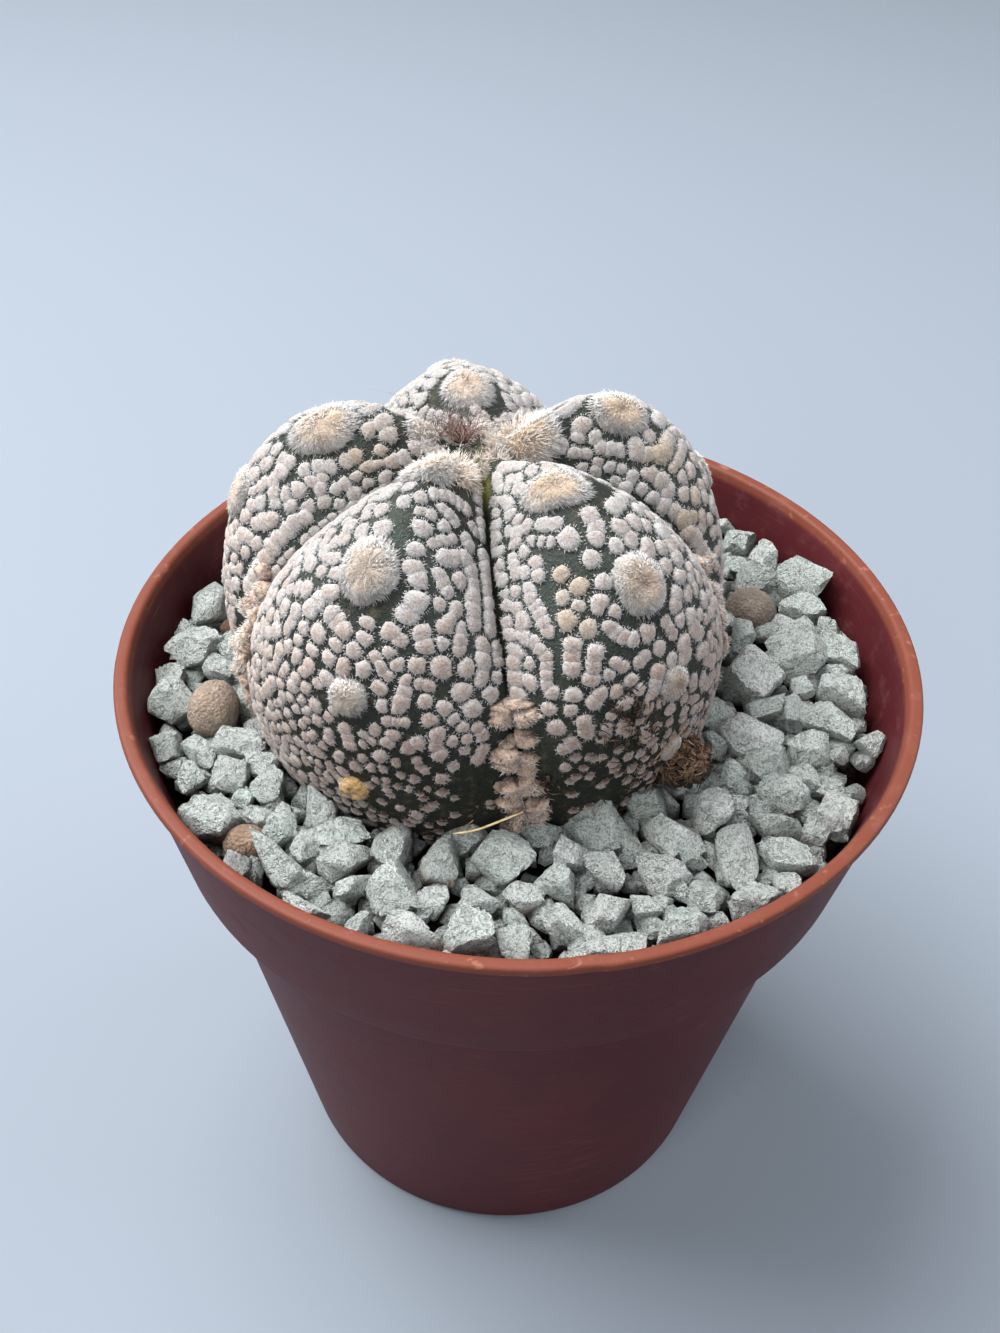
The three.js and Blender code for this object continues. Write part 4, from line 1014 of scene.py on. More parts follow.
def felt_paint(start):
    """Felt of fine fibres that run out from the middle of each pad, over cloudy clumps."""
    where = start.place()
    felt = start.noise(where, 4.5, 4.0, 0.75)
    clumps = start.noise(where, 1.3, 2.0, 0.6)
    spokes = start.tone("spokes")
    own = start.node("ShaderNodeSeparateXYZ", out=2, Vector=spokes)
    flat = start.node(
        "ShaderNodeVectorMath", {"operation": "MULTIPLY"}, Vector=spokes, Vector_001=(1, 1, 0))
    way = start.node("ShaderNodeVectorMath", {"operation": "NORMALIZE"}, Vector=flat)
    fibres = start.node("ShaderNodeTexNoise", {"noise_dimensions": "4D"}, Vector=way, W=own,
                        Scale=5.5, Detail=3.0, Roughness=0.7)
    light = (felt * 0.6 + fibres * 0.4).band(0.38, 0.56)
    wool = start.mix(colour(186, 179, 174), colour(255, 255, 255), light)
    wool = start.mix(wool, start.tone("tone"), 1.0, "MULTIPLY")
    relief = start.bump(felt * 0.7 + clumps * 0.5 + fibres * 0.7, 0.34)
    return {"Base_Color": wool, "Roughness": 0.95, "Normal": relief, "Specular_IOR_Level": 0.12,
            "Sheen_Weight": 0.25, "Sheen_Roughness": 0.6, "Subsurface_Weight": 0.35,
            "Subsurface_Scale": 0.35 * MM, "Subsurface_Radius": (1.0, 0.85, 0.7)}


def hair_paint(start):
    clumps = start.noise(start.place(), 1.6, 3.0, 0.6)
    hair = start.mix(colour(232, 226, 220), colour(255, 255, 255), clumps.band(0.3, 0.6))
    hair = start.mix(hair, start.tone("tone"), 1.0, "MULTIPLY")
    return {"Base_Color": hair, "Roughness": 0.8, "Specular_IOR_Level": 0.12, "Sheen_Weight": 0.3,
            "Sheen_Roughness": 0.5, "Subsurface_Weight": 0.7, "Subsurface_Scale": 1.0 * MM,
            "Subsurface_Radius": (1.0, 0.85, 0.7)}


felt = make_material("felted_wool", felt_paint)
silky_hair = make_material("silky_hair", hair_paint)


def add_hair(name, roots, ways, lengths, tone, bends=0.0, joints=1, width=HAIR_WIDTH):
    """A piece of hairs that grow from roots along ways, each with its own tone."""
    corners, faces = hairs(roots, ways, lengths, width, bends + np.zeros_like(ways), joints)
    tones = np.repeat(tone[:, None], corners.shape[1], 1).reshape(-1, 3)
    add_piece(name, corners.reshape(-1, 3), faces, silky_hair, (), {"tone": tones})


areole_way = np.radians(RIB_CREST[AREOLES[:, 0].astype(int)] + AREOLES[:, 1])
areole_row = AREOLES[:, 2]
pad_width, pad_length, pad_height, pad_hair, pad_gold, pad_brown, pad_dimple = AREOLES[:, 3:10].T
pad_turn = np.radians(AREOLES[:, 10])
areole_middle = body_point(areole_row, areole_way)
areole_out = body_frame(areole_row, areole_way)[2]
pad_hollow = np.clip(1.5 * pad_dimple, 0, 0.65)
PAD_FLATNESS = 4
PAD_RISE = 0.75

pad_corners, pad_faces, pad_share, pad_spokes = domes(
    areole_row, areole_way, pad_width, pad_length, pad_height * PAD_RISE, 40,
    [0.12, 0.26, 0.4, 0.54, 0.67, 0.79, 0.89, 0.96, 1.0, 1.1], 0.09, PAD_FLATNESS, 31, pad_turn)
pad_seed = np.arange(len(AREOLES))[:, None, None] * 7.3
lumps = ripple(pad_corners * 0.9 + pad_seed, 33, 11, 0.8)
pit = (pad_dimple * pad_height)[:, None] * np.exp(-(pad_share / 0.3) ** 2)
crusty = (pad_gold > 1.5)[:, None] * 0.3 * ripple(pad_corners * 2.6, 35, 9, 1.0)
lift = ((0.22 * lumps + crusty) * np.clip(1.05 - pad_share, 0, 1) ** 0.5 - pit)[..., None]
pad_corners = pad_corners + areole_out[:, None] * lift
pad_rim = np.clip((pad_share - 0.55) / 0.4, 0, 1)[None, :, None]
stain = 0.35 + 0.9 * lumps + 0.6 * ripple(pad_corners * 1.6, 34, 9, 1.0)
in_hollow = pad_hollow[:, None] * np.exp(-(pad_share / 0.24) ** 2)
stain = pad_brown[:, None] * stain * (1.1 - pad_share) + in_hollow
stain = np.clip(stain, 0, 0.8)[..., None]
pad_own = blended(WOOL_BEIGE, WOOL_GOLD, np.clip(pad_gold, 0, 1)[:, None])
pad_crust = np.clip(pad_gold - 1, 0, 1)[:, None]
pad_own = blended(pad_own, WOOL_RUST * 1.9, pad_crust)
pad_tone = blended(pad_own[:, None], WOOL_WHITE, pad_rim * (pad_gold < 1.5)[:, None, None])
pad_tone = blended(pad_tone * PAD_SHADE, WOOL_BROWN, stain)
add_piece("areole_pads", pad_corners.reshape(-1, 3), pad_faces, felt, (),
          {"tone": pad_tone.reshape(-1, 3), "spokes": pad_spokes})


def areole_hair(draw, density, nearest, farthest, stand, reach):
    """Hairs on every pad between two shares of its size, so many to the square millimetre.

    Near the rim they fan outwards; near the middle they stand up in a loose swirl.
    """
    per_pad = (density * pad_width * pad_length).astype(int)
    pad = np.repeat(np.arange(len(AREOLES)), per_pad)
    total = len(pad)
    turn = draw.uniform(0, 2 * np.pi, total)
    share = np.sqrt(draw.uniform(nearest**2, farthest**2, total))
    wide = pad_width[pad] * share * np.cos(turn)
    long = pad_length[pad] * share * np.sin(turn)
    tilt = pad_turn[pad]
    row, way = step_along(areole_row[pad], areole_way[pad], wide * np.cos(tilt) - long * np.sin(tilt),
                          wide * np.sin(tilt) + long * np.cos(tilt))
    out = areole_out[pad]
    rise = PAD_RISE * pad_height[pad] * dome_rise(share, PAD_FLATNESS) - 0.1
    rise = rise - (pad_dimple * pad_height)[pad] * np.exp(-(share / 0.3) ** 2)
    roots = body_point(row, way) + out * rise[:, None]
    outward = unit(roots - areole_middle[pad] - out * rise[:, None])
    swirl = np.cross(out, outward)
    ways = unit(outward * (0.3 + share[:, None]) + out * stand + swirl * 0.35
                + draw.normal(0, 0.3, (total, 3)))
    lengths = pad_hair[pad] * reach * draw.uniform(0.55, 1.15, total)
    bends = -0.25 * out + draw.normal(0, 0.12, (total, 3))
    rim = np.clip((share - 0.5) / 0.35, 0, 1)[:, None]
    tone = blended(pad_own[pad], WOOL_WHITE * 1.05, rim * (pad_gold[pad, None] < 1.5))
    tone = tone * draw.uniform(0.6, 1.3, (total, 1))
    soiled = pad_brown[pad] * draw.uniform(-0.6, 1.2, total) * (1.1 - share)
    soiled = soiled + pad_hollow[pad] * np.exp(-(share / 0.24) ** 2)
    tone = blended(tone * PAD_SHADE, WOOL_BROWN, np.clip(soiled, 0, 0.8)[:, None])
    return roots, ways, lengths, tone, bends


AREOLE_HAIR_WIDTH = 0.062
# Density, nearest and farthest share of the pad, how far the hairs stand up, and their reach
AREOLE_HAIR = [
    ("areole_rim_hair", 74, 0.7, 1.02, 0.2, 0.7),
    ("areole_top_hair", 84, 0.0, 0.85, 0.5, 0.65),
]
hair_draw = np.random.default_rng(41)
for name, *growth in AREOLE_HAIR:
    add_hair(name, *areole_hair(hair_draw, *growth), width=AREOLE_HAIR_WIDTH)

# Flecks: raised buttons of white wool that stand close all over the skin and run together in worms.
# They crowd beside the grooves, keep off the areoles, and stay small and dirty near the gravel.
FLECK_WHITE = np.array(colour(200, 200, 201)[:3])
FLECK_BEIGE = np.array(colour(188, 163, 147)[:3])
SOIL_BROWN = np.array(colour(82, 52, 38)[:3])
FLECK_GOLD = np.array(colour(188, 158, 104)[:3])
FLECK_TRIES = 26000
FLECK_FLATNESS = 7
FLECK_SIDES = 11
FLECK_GAP = 0.17
FLECK_GROWTH = 1.3
# Flecks closer than this share of their two sizes have grown together
FLECK_FUSED = 0.87
# Steps along a leading worm, in half widths
WORM_PACE = 1.45
FRINGE_DENSITY = 39
BAND_ROW = 5.4
# Columns of flecks beside a groove: distance from its middle, step, half width and half length
FRONT_COLUMNS = [(0.85, 1.35, 0.66, 0.8)]
OTHER_COLUMNS = [(0.55, 1.2, 0.42, 0.7), (1.75, 1.3, 0.72, 0.85)]
# Bare lanes of green skin: rib, half width, and the course as pairs of row and signed share of the
# way from crest to groove
BARE_LANES = [
    (0, 0.25, [(3.27, 0.0), (3.7, 0.14)]),
    (1, 0.28, [(3.3, -0.5), (4.05, -0.61), (4.75, -0.66), (5.2, -0.69), (5.85, -0.72)]),
    (1, 0.70, [(5.9, -0.84), (6.6, -0.8), (7.4, -0.78), (8.2, -0.76)]),
    (1, 1.00, [(7.3, -0.6), (7.6, -0.35)]), (0, 0.50, [(5.2, 0.94), (5.6, 0.9)]),
    (0, 1.20, [(6.6, 0.74), (7.3, 0.72), (8.0, 0.7)]),
]
# Worms on the two front ribs, most of them beside the front groove: rib, half width, and the course
# in the same way. Points picked in the photo were turned into rows and shares by a reading aid,
# and rounded, shortened and adjusted by hand.
LEADING_WORMS = [
    (0, 0.68, [(2.6, 0.2), (2.3, 0.4), (2.25, 0.6)]), (0, 0.66, [(2.75, 0.36), (2.8, 0.5)]),
    (0, 0.62, [(3.1, 0.18), (3.05, 0.28)]), (0, 0.58, [(3.5, 0.38), (3.2, 0.53)]),
    (0, 0.56, [(2.5, 0.72), (2.55, 0.77)]), (0, 0.72, [(2.95, 0.67), (3.05, 0.7)]),
    (0, 0.95, [(3.6, 0.5), (3.35, 0.67), (3.6, 0.76), (4.35, 0.77)]),
    (0, 0.92, [(4.6, 0.84), (5.1, 0.82)]), (0, 0.88, [(2.95, 0.88), (3.45, 0.9), (4.3, 0.905)]),
    (0, 0.70, [(4.5, 0.94), (4.75, 0.95)]), (0, 0.70, [(3.9, 0.49), (4.1, 0.57)]),
    (0, 0.90, [(4.8, 0.44), (4.95, 0.48)]), (0, 1.10, [(5.15, 0.57)]),
    (0, 1.00, [(5.4, 0.7), (5.6, 0.75)]), (0, 0.85, [(5.3, 0.87)]),
    (0, 0.72, [(5.9, 0.7), (6.05, 0.72)]),
    (1, 0.60, [(1.4, -0.4), (1.6, -0.56)]), (1, 0.75, [(1.6, -0.8), (1.9, -0.64), (2.25, -0.7)]),
    (1, 0.56, [(2.15, -0.9), (2.7, -0.95)]), (1, 0.72, [(2.55, -0.66), (2.95, -0.75)]),
    (1, 0.70, [(3.15, -0.8), (3.45, -0.81)]), (1, 0.58, [(3.1, -0.96), (3.4, -0.93)]),
    (1, 0.57, [(3.15, -0.62), (3.4, -0.5)]), (1, 0.76, [(3.75, -0.68), (3.85, -0.75)]),
    (1, 0.76, [(3.75, -0.85), (4.0, -0.87)]), (1, 0.70, [(4.0, -0.76), (4.6, -0.71)]),
    (1, 0.72, [(4.3, -0.56), (4.5, -0.5)]), (1, 0.62, [(4.65, -0.8), (4.95, -0.75), (5.3, -0.78)]),
    (1, 0.92, [(4.7, -0.91)]), (1, 0.87, [(4.95, -0.59), (5.25, -0.62)]),
    (1, 0.88, [(5.2, -0.49), (5.5, -0.53)]),
    (0, 0.95, [(5.0, -0.12), (5.15, -0.02)]), (0, 0.8, [(5.35, -0.04), (5.55, -0.06)]),
    (0, 0.7, [(6.4, 0.07), (6.6, 0.1)]), (0, 0.85, [(3.75, 0.28)]), (0, 0.9, [(4.0, 0.3), (4.15, 0.36)]),
    (1, 0.6, [(5.3, 0.0), (5.5, 0.03)]),
]
# Where the flecks have yellowed: rib, row, signed share and radius
YELLOWED = [
    (4, 2.65, 0.52, 2.4), (2, 4.0, -0.54, 2.0), (2, 4.9, -0.72, 2.0),
    (1, 4.1, -0.5, 2.0), (1, 4.7, -0.55, 1.6),
]


def course_places(rib, course, count):
    """Rows and directions at even steps along a course of row and signed share on a rib."""
    course = np.array(course)
    steps = np.linspace(0, len(course) - 1, count)
    row = np.interp(steps, np.arange(len(course)), course[:, 0])
    share = np.interp(steps, np.arange(len(course)), course[:, 1])
    grooves = valley_ways(row)
    side = wrapped(np.where(share >= 0, grooves[:, rib], grooves[:, rib - 1]) - RIB_CREST[rib])
    return row, np.radians(RIB_CREST[rib] + np.abs(share) * side)


def leading_flecks():
    """Flecks along every leading worm, so close that they run together."""
    made = []
    for rib, size, course in LEADING_WORMS:
        row, way = course_places(rib, course, 60)
        far = np.cumsum(np.linalg.norm(np.diff(body_point(row, way), axis=0), axis=1))
        far = np.concatenate([[0], far])
        for at in np.linspace(0, far[-1], int(round(far[-1] / (WORM_PACE * size))) + 1):
            made.append([np.interp(at, far, row), np.interp(at, far, way), size, size])
    return np.array(made)


def groove_columns(draw):
    """Two columns of flecks on each side of every groove, the inner one thin and stretched.

    The front groove has one column on each side, and the left one stops at row 3. Leading worms
    stand beyond them.
    """
    made = []
    for number in range(5):
        columns = FRONT_COLUMNS if number == 0 else OTHER_COLUMNS
        for side in (-1, 1):
            for away, step, wide, long in columns:
                row = 1.6 if number == 0 else 1.35
                while row < (3.0 if number == 0 and side < 0 else 5.7):
                    radius = along_outline(VALLEY_OUTLINE, np.array(row))[0]
                    offset = away * draw.uniform(0.9, 1.15) / radius
                    way = np.radians(valley_ways(row)[number]) + side * offset
                    pace = np.linalg.norm(body_frame(np.array(row), np.array(way))[0])
                    wider = 1 + 0.5 * np.clip((row - 3) / 2, 0, 1)
                    if draw.random() < 0.92:
                        half_width = wide * wider * draw.uniform(0.8, 1.15)
                        made.append([row, way, half_width, long * draw.uniform(0.75, 1.2)])
                    row += step * draw.uniform(0.9, 1.15) / pace
    return np.array(made)


def low_front(row, radians):
    """Where soil has splashed the plant: 1 at the gravel in front, fading up the ribs and round them."""
    front = np.exp(-(wrapped(np.degrees(radians) + 76) / 42) ** 2)
    return front * np.clip((row - 5.9) / 1.3, 0, 1)


def fleck_chains(draw, tries):
    """Flecks thrown at random in worms of one to five; each keeps clear of the other worms.

    Seven in ten worms set out down the rib, the others any way. They crowd near the grooves and on
    the plant's left side.
    Returns rows of row, direction, half width and half length.
    """
    links = 5
    row = np.empty((tries, links))
    way = np.empty((tries, links))
    row[:, 0] = draw.uniform(0.95, GRAVEL_ROW + 0.15, tries)
    way[:, 0] = draw.uniform(-np.pi, np.pi, tries)
    large = 0.92 - 0.28 * np.clip((row[:, :1] - 4.8) / 2.0, 0, 1)
    size = large * draw.uniform(0.76, 1.16, (tries, 1)) * draw.uniform(0.9, 1.1, (tries, links))
    heading = np.where(draw.random(tries) < 0.7, draw.normal(np.pi / 2, 0.4, tries),
                       draw.uniform(0, 2 * np.pi, tries))
    curl = draw.normal(0, 0.35, tries)
    for i in range(1, links):
        pace = draw.uniform(0.62, 0.82, tries) * (size[:, i] + size[:, i - 1])
        heading = heading + curl
        next_row, way[:, i] = step_along(
            row[:, i - 1], way[:, i - 1], pace * np.cos(heading), pace * np.sin(heading))
        row[:, i] = np.clip(next_row, 0.7, GRAVEL_ROW + 0.6)
    rib, share, side = rib_under(row, way)
    middle = body_point(row, way)
    radius = np.hypot(middle[..., 0] - PLANT_X, middle[..., 1] - PLANT_Y)
    room = (1 - share) * np.radians(np.abs(side)) * radius
    west = np.clip(3 * np.cos(way - np.radians(192)) - 1.9, 0, 1)
    crowding = np.maximum(np.clip(1 - (room - 2.0) / 4.5, 0, 1), 0.85 * west)
    gap = -0.12 - 0.25 * crowding + 0.14 * np.clip((row - 6) / 2, 0, 1) + 0.22 * low_front(row, way)
    gap = gap + (1 - crowding) * 0.14 * ripple(middle * 0.16, 17, 9, 1.0)
    edge, side = beside_areoles(middle)
    clear = (edge > size[..., None] - 0.25 + 0.8 * np.clip(side, 0, 1)).all(-1)
    clear &= draw.random((tries, links)) > 0.6 * low_front(row, way)
    fits = clear & (room > size + 0.05) & (radius > 3.6) & (row < GRAVEL_ROW + 0.4) & (row > 0.8)
    fits &= (row < BAND_ROW - 0.2) | (room > 2.7 + size)
    for number, width, course in BARE_LANES:
        lane = body_point(*course_places(number, course, 24))
        from_lane = np.linalg.norm(middle[:, :, None] - lane, axis=-1).min(-1)
        fits &= from_lane > width + size * 0.8
    count = draw.choice(5, tries, p=[0.38, 0.26, 0.18, 0.11, 0.07]) + 1
    started = np.concatenate([leading_flecks(), groove_columns(draw)])
    kept = started.tolist()
    places = body_point(started[:, 0], started[:, 1])
    sizes = started[:, 2:].mean(-1)
    for start in range(tries):
        others = len(places)
        for i in range(count[start]):
            near = np.linalg.norm(places[:others] - middle[start, i], axis=-1)
            if not fits[start, i] or (near < sizes[:others] + size[start, i] + gap[start, i]).any():
                break
            kept.append([row[start, i], way[start, i], size[start, i], size[start, i]])
            places = np.vstack([places, middle[start, i]])
            sizes = np.append(sizes, size[start, i])
    return np.array(kept)


def fleck_outlines(sides):
    """Each fleck's outline as shares of its size: grown until it all but meets its neighbours.

    Towards a neighbour it stops short of the line that parts the two by their sizes; the limits
    of all directions are joined as a sum of eighth powers, which rounds the corners. Low in front,
    where soil has splashed, the flecks stay smaller.
    """
    sizes = flecks[:, 2:].mean(-1)
    places = body_point(flecks[:, 0], flecks[:, 1])
    down, round_it, _ = body_frame(flecks[:, 0], flecks[:, 1])
    down_way = unit(down)
    round_way = unit(round_it - (round_it * down_way).sum(-1)[:, None] * down_way)
    far = np.linalg.norm(places[:, None] - places, axis=-1)
    near = np.argsort(far, axis=1)[:, 1:11]
    off = places[near] - places[:, None]
    off = np.stack([(off * round_way[:, None]).sum(-1), (off * down_way[:, None]).sum(-1)], -1)
    distance = np.linalg.norm(off, axis=-1) + 1e-6
    both = sizes[:, None] + sizes[near]
    splashed = low_front(flecks[:, 0], flecks[:, 1])[:, None]
    limit = distance * sizes[:, None] / both - FLECK_GAP / 2 - 0.18 * splashed
    angle = np.arange(sides) / sides * 2 * np.pi
    lean = (off @ np.stack([np.cos(angle), np.sin(angle)])) / distance[..., None]
    fused = (distance < FLECK_FUSED * both)[..., None]
    reach = limit[..., None] / np.clip(lean, 0.12, None)
    reach = np.where(fused, 9.0, np.clip(reach, 0.3, None))
    most = (FLECK_GROWTH - 0.42 * splashed) * sizes[:, None]
    grown = ((1 / reach**8).sum(1) + 1 / most**8) ** (-1 / 8)
    return np.clip(grown / sizes[:, None], 0.66, None)[:, None]


fleck_draw = np.random.default_rng(7)
flecks = fleck_chains(fleck_draw, FLECK_TRIES)
fleck_outline = fleck_outlines(FLECK_SIDES)
stretch = fleck_draw.uniform(0.96, 1.04, len(flecks))
fleck_width = flecks[:, 2] * stretch
fleck_length = flecks[:, 3] / stretch
fleck_height = flecks[:, 2:].mean(-1) * fleck_draw.uniform(0.36, 0.54, len(flecks))
fleck_corners, fleck_faces, fleck_share, fleck_spokes = domes(
    flecks[:, 0], flecks[:, 1], fleck_width, fleck_length, fleck_height, FLECK_SIDES,
    [0.66, 0.94, 1.06], 0.13, FLECK_FLATNESS, 51, outline=fleck_outline)
fleck_place = body_point(flecks[:, 0], flecks[:, 1])
fleck_out = body_frame(flecks[:, 0], flecks[:, 1])[2]
fleck_lower = np.clip((flecks[:, 0] - 3.4) / 3, 0, 1)
fleck_beige = fleck_draw.normal(0.05, 0.2, len(flecks)) + 0.6 * fleck_lower
fleck_beige = np.clip(fleck_beige, 0, 1)[:, None, None]
fleck_yellow = np.zeros((len(flecks), 1, 1))
for rib, row, share, radius in YELLOWED:
    spot = body_point(*course_places(rib, [(row, share)], 1))
    from_spot = np.linalg.norm(fleck_place - spot, axis=-1)[:, None, None]
    fleck_yellow = np.maximum(fleck_yellow, 0.5 * np.exp(-(from_spot / radius) ** 2))
fleck_dirt = np.clip((flecks[:, 0] - 5.8) / 2.4, 0, 1) * fleck_draw.uniform(0, 0.7, len(flecks))
splashed = low_front(flecks[:, 0], flecks[:, 1])
fleck_dirt = np.clip(fleck_dirt + 1.5 * splashed * fleck_draw.uniform(0.1, 1.0, len(flecks)), 0, 1)
fleck_middle = np.clip(1 - fleck_share / 0.85, 0, 1)[None, :, None]
fleck_heart = (0.4 + 0.35 * fleck_lower)[:, None, None] * fleck_middle
fleck_tone = blended(FLECK_WHITE, FLECK_BEIGE, np.clip(fleck_beige * 0.5 + fleck_heart, 0, 1))
fleck_tone = blended(fleck_tone, FLECK_GOLD, fleck_yellow)
above_middle = (fleck_corners[..., 2] - fleck_place[:, None, 2]) / flecks[:, 2:3]
upper_edge = np.clip(0.5 + above_middle, 0, 1)[..., None]
dirt_here = fleck_dirt[:, None, None] * np.clip(2.2 * upper_edge - 1.0, 0.05, 1)
fleck_tone = blended(fleck_tone, SOIL_BROWN, dirt_here)
# Painted light and shade: fleck brightness set by row, darkest at row 2.6 and lighter towards the crown and
# the gravel, standing in for how light falls down the ribs.
fleck_painted_light = 0.72 + 0.28 * np.clip((flecks[:, 0] - 2) / 4, 0, 1)
fleck_painted_light = fleck_painted_light + 0.2 * np.clip((2.6 - flecks[:, 0]) / 1.2, 0, 1)
fleck_tone = fleck_tone * fleck_painted_light[:, None, None]
# Painted shade: the tucked-in foot ring of every fleck is darkened to 0.3, a painted contact shadow where
# it meets the skin.
fleck_tone = fleck_tone * np.where(fleck_share > 1, 0.3, 1.0)[None, :, None]
half = len(flecks) // 2
per_fleck = fleck_corners.shape[1]
for name, part in (("wool_flecks_first", slice(0, half)), ("wool_flecks_rest", slice(half, len(flecks)))):
    faces = [kind.reshape(len(flecks), -1, kind.shape[-1])[part] for kind in fleck_faces]
    faces = [kind.reshape(-1, kind.shape[-1]) - part.start * per_fleck for kind in faces]
    add_piece(name, fleck_corners[part].reshape(-1, 3), faces, felt, (),
              {"tone": fleck_tone[part].reshape(-1, 3),
               "spokes": fleck_spokes.reshape(len(flecks), -1, 3)[part].reshape(-1, 3)})


def fleck_hair(draw, density):
    """Short thick hairs that fringe each fleck's rim, so many to the area of the fleck."""
    number = np.repeat(np.arange(len(flecks)), (density * fleck_width * fleck_length).astype(int) + 5)
    total = len(number)
    turn = draw.uniform(0, 2 * np.pi, total)
    share = draw.uniform(0.78, 1.06, total) ** 0.5
    base = flecks[number]
    side = np.round(turn / 2 / np.pi * FLECK_SIDES).astype(int) % FLECK_SIDES
    reach = share * fleck_outline[number, 0, side]
    row, way = step_along(
        base[:, 0], base[:, 1], fleck_width[number] * reach * np.cos(turn),
        fleck_length[number] * reach * np.sin(turn))
    out = fleck_out[number]
    rise = fleck_height[number] * dome_rise(share, FLECK_FLATNESS) - 0.03
    roots = body_point(row, way) + out * rise[:, None]
    outward = unit(roots - fleck_place[number] - out * rise[:, None])
    ways = unit(outward * 1.4 + out * 0.16 + draw.normal(0, 0.24, (total, 3)))
    lengths = np.sqrt(fleck_width[number]) * draw.uniform(0.18, 0.40, total)
    tone = blended(FLECK_WHITE * 1.12, FLECK_BEIGE, 0.5 * fleck_beige[number, 0])
    tone = tone * draw.uniform(0.82, 1.12, (total, 1))
    tone = blended(tone, FLECK_GOLD, fleck_yellow[number, 0])
    tone = tone * fleck_painted_light[number, None]
    upward = np.clip(0.5 - 0.9 * np.sin(turn), 0, 1)[:, None]
    tone = blended(tone, SOIL_BROWN, fleck_dirt[number, None] * upward * draw.uniform(0.3, 1, (total, 1)))
    return roots, ways, lengths, tone


strands = fleck_hair(fleck_draw, FRINGE_DENSITY)
middle_strand = len(strands[0]) // 2
add_hair("fleck_hair_upper", *(column[:middle_strand] for column in strands), width=FRINGE_WIDTH)
add_hair("fleck_hair_lower", *(column[middle_strand:] for column in strands), width=FRINGE_WIDTH)

# Groove wool: low in each groove the flecks of both flanks have grown together into one band,
# overlapping pairs of thick tufts, their rims painted soil brown: soil caught between them and painted
# shade in the gaps.
BAND_FLATNESS = 4
BAND_HAIRS = 85


def band_tufts(draw):
    """Pairs of tufts down each groove: row, direction, half width, half length, height and side."""
    made = []
    for number in range(5):
        row = BAND_ROW
        while row < GRAVEL_ROW + 0.3:
            valley = np.radians(valley_ways(row)[number])
            place = body_point(np.array(row), valley)
            radius = np.hypot(place[0] - PLANT_X, place[1] - PLANT_Y)
            pace = np.linalg.norm(body_frame(np.array(row), valley)[0])
            narrow = 1 - 0.3 * np.clip((row - 7.1) / 1.2, 0, 1)
            for side in (-1, 1):
                away = draw.uniform(0.45, 1.5) * side
                width = draw.uniform(1.0, 1.75) * narrow
                made.append([row + draw.uniform(-0.22, 0.22), valley + away / radius, width,
                             draw.uniform(0.6, 1.05), draw.uniform(0.8, 1.7) * narrow, side])
            row += draw.uniform(1.02, 1.36) / pace
    return np.array(made)


band_draw = np.random.default_rng(61)
tufts = band_tufts(band_draw)
tuft_corners, tuft_faces, tuft_share, tuft_spokes = domes(
    tufts[:, 0], tufts[:, 1], tufts[:, 2], tufts[:, 3], tufts[:, 4], 20, [0.25, 0.5, 0.72, 0.88, 1.0, 1.12],
    0.2, BAND_FLATNESS, 62)
tuft_place = body_point(tufts[:, 0], tufts[:, 1])
tuft_down, tuft_round, tuft_out = body_frame(tufts[:, 0], tufts[:, 1])
tuft_lumps = ripple(tuft_corners * 1.3, 63, 11, 1.0)
tuft_lift = 0.35 * tuft_lumps * np.clip(1.1 - tuft_share, 0, 1)
tuft_corners = tuft_corners + tuft_out[:, None] * tuft_lift[..., None]
tuft_low = np.clip((tufts[:, 0] - 6.9) / 1.5, 0, 1)[:, None]
outer_way = unit(tuft_round) * tufts[:, 5:6]
tuft_outer = ((tuft_corners - tuft_place[:, None]) * outer_way[:, None]).sum(-1) / tufts[:, 2:3]
tuft_tone = blended(FLECK_BEIGE, WOOL_GOLD * 0.72, 0.6 * np.clip(tuft_outer, 0, 1)[..., None])
# Painted shade and soil: the tufts turn soil brown towards their rims, where they meet, and lower down and
# on random lumps.
tuft_soil_and_shade = np.clip(tuft_low * 0.5 + 1.0 * tuft_lumps + 0.12 + 2.2 * (tuft_share - 0.7), 0, 0.92)[..., None]
tuft_tone = blended(tuft_tone * 1.25, SOIL_BROWN, tuft_soil_and_shade)
add_piece("groove_wool", tuft_corners.reshape(-1, 3), tuft_faces, felt, (),
          {"tone": tuft_tone.reshape(-1, 3), "spokes": tuft_spokes})


def band_hair(draw, per_tuft):
    """Hair that fans out of every tuft, longest on the side away from the groove's middle."""
    number = np.repeat(np.arange(len(tufts)), per_tuft)
    total = len(number)
    turn = draw.uniform(0, 2 * np.pi, total)
    share = np.sqrt(draw.uniform(0.05, 1, total))
    row, way = step_along(tufts[number, 0], tufts[number, 1], tufts[number, 2] * share * np.cos(turn),
                          tufts[number, 3] * share * np.sin(turn))
    rise = tufts[number, 4] * dome_rise(share, BAND_FLATNESS) - 0.05
    roots = body_point(row, way) + tuft_out[number] * rise[:, None]
    outward = unit(roots - tuft_place[number])
    outer = np.clip(np.cos(turn) * tufts[number, 5], 0, 1)[:, None]
    ways = unit(outward + tuft_out[number] * 0.3 + outer_way[number] * 0.6 + unit(tuft_down)[number] * 0.25
                + draw.normal(0, 0.35, (total, 3)))
    lengths = draw.uniform(0.22, 0.5, total) * (1 + 0.6 * outer[:, 0])
    soil_share = np.clip(tuft_low[number] * 0.5 + draw.uniform(-0.6, 1.0, (total, 1)), 0, 0.9)
    tone = blended(WOOL_WHITE, WOOL_GOLD, draw.uniform(0, 0.4, (total, 1)) + 0.3 * outer)
    tone = tone * draw.uniform(0.5, 1.0, (total, 1))
    return roots, ways, lengths, blended(tone, WOOL_BROWN * 0.6, soil_share)


add_hair("groove_wool_hair", *band_hair(band_draw, BAND_HAIRS), width=FRINGE_WIDTH)

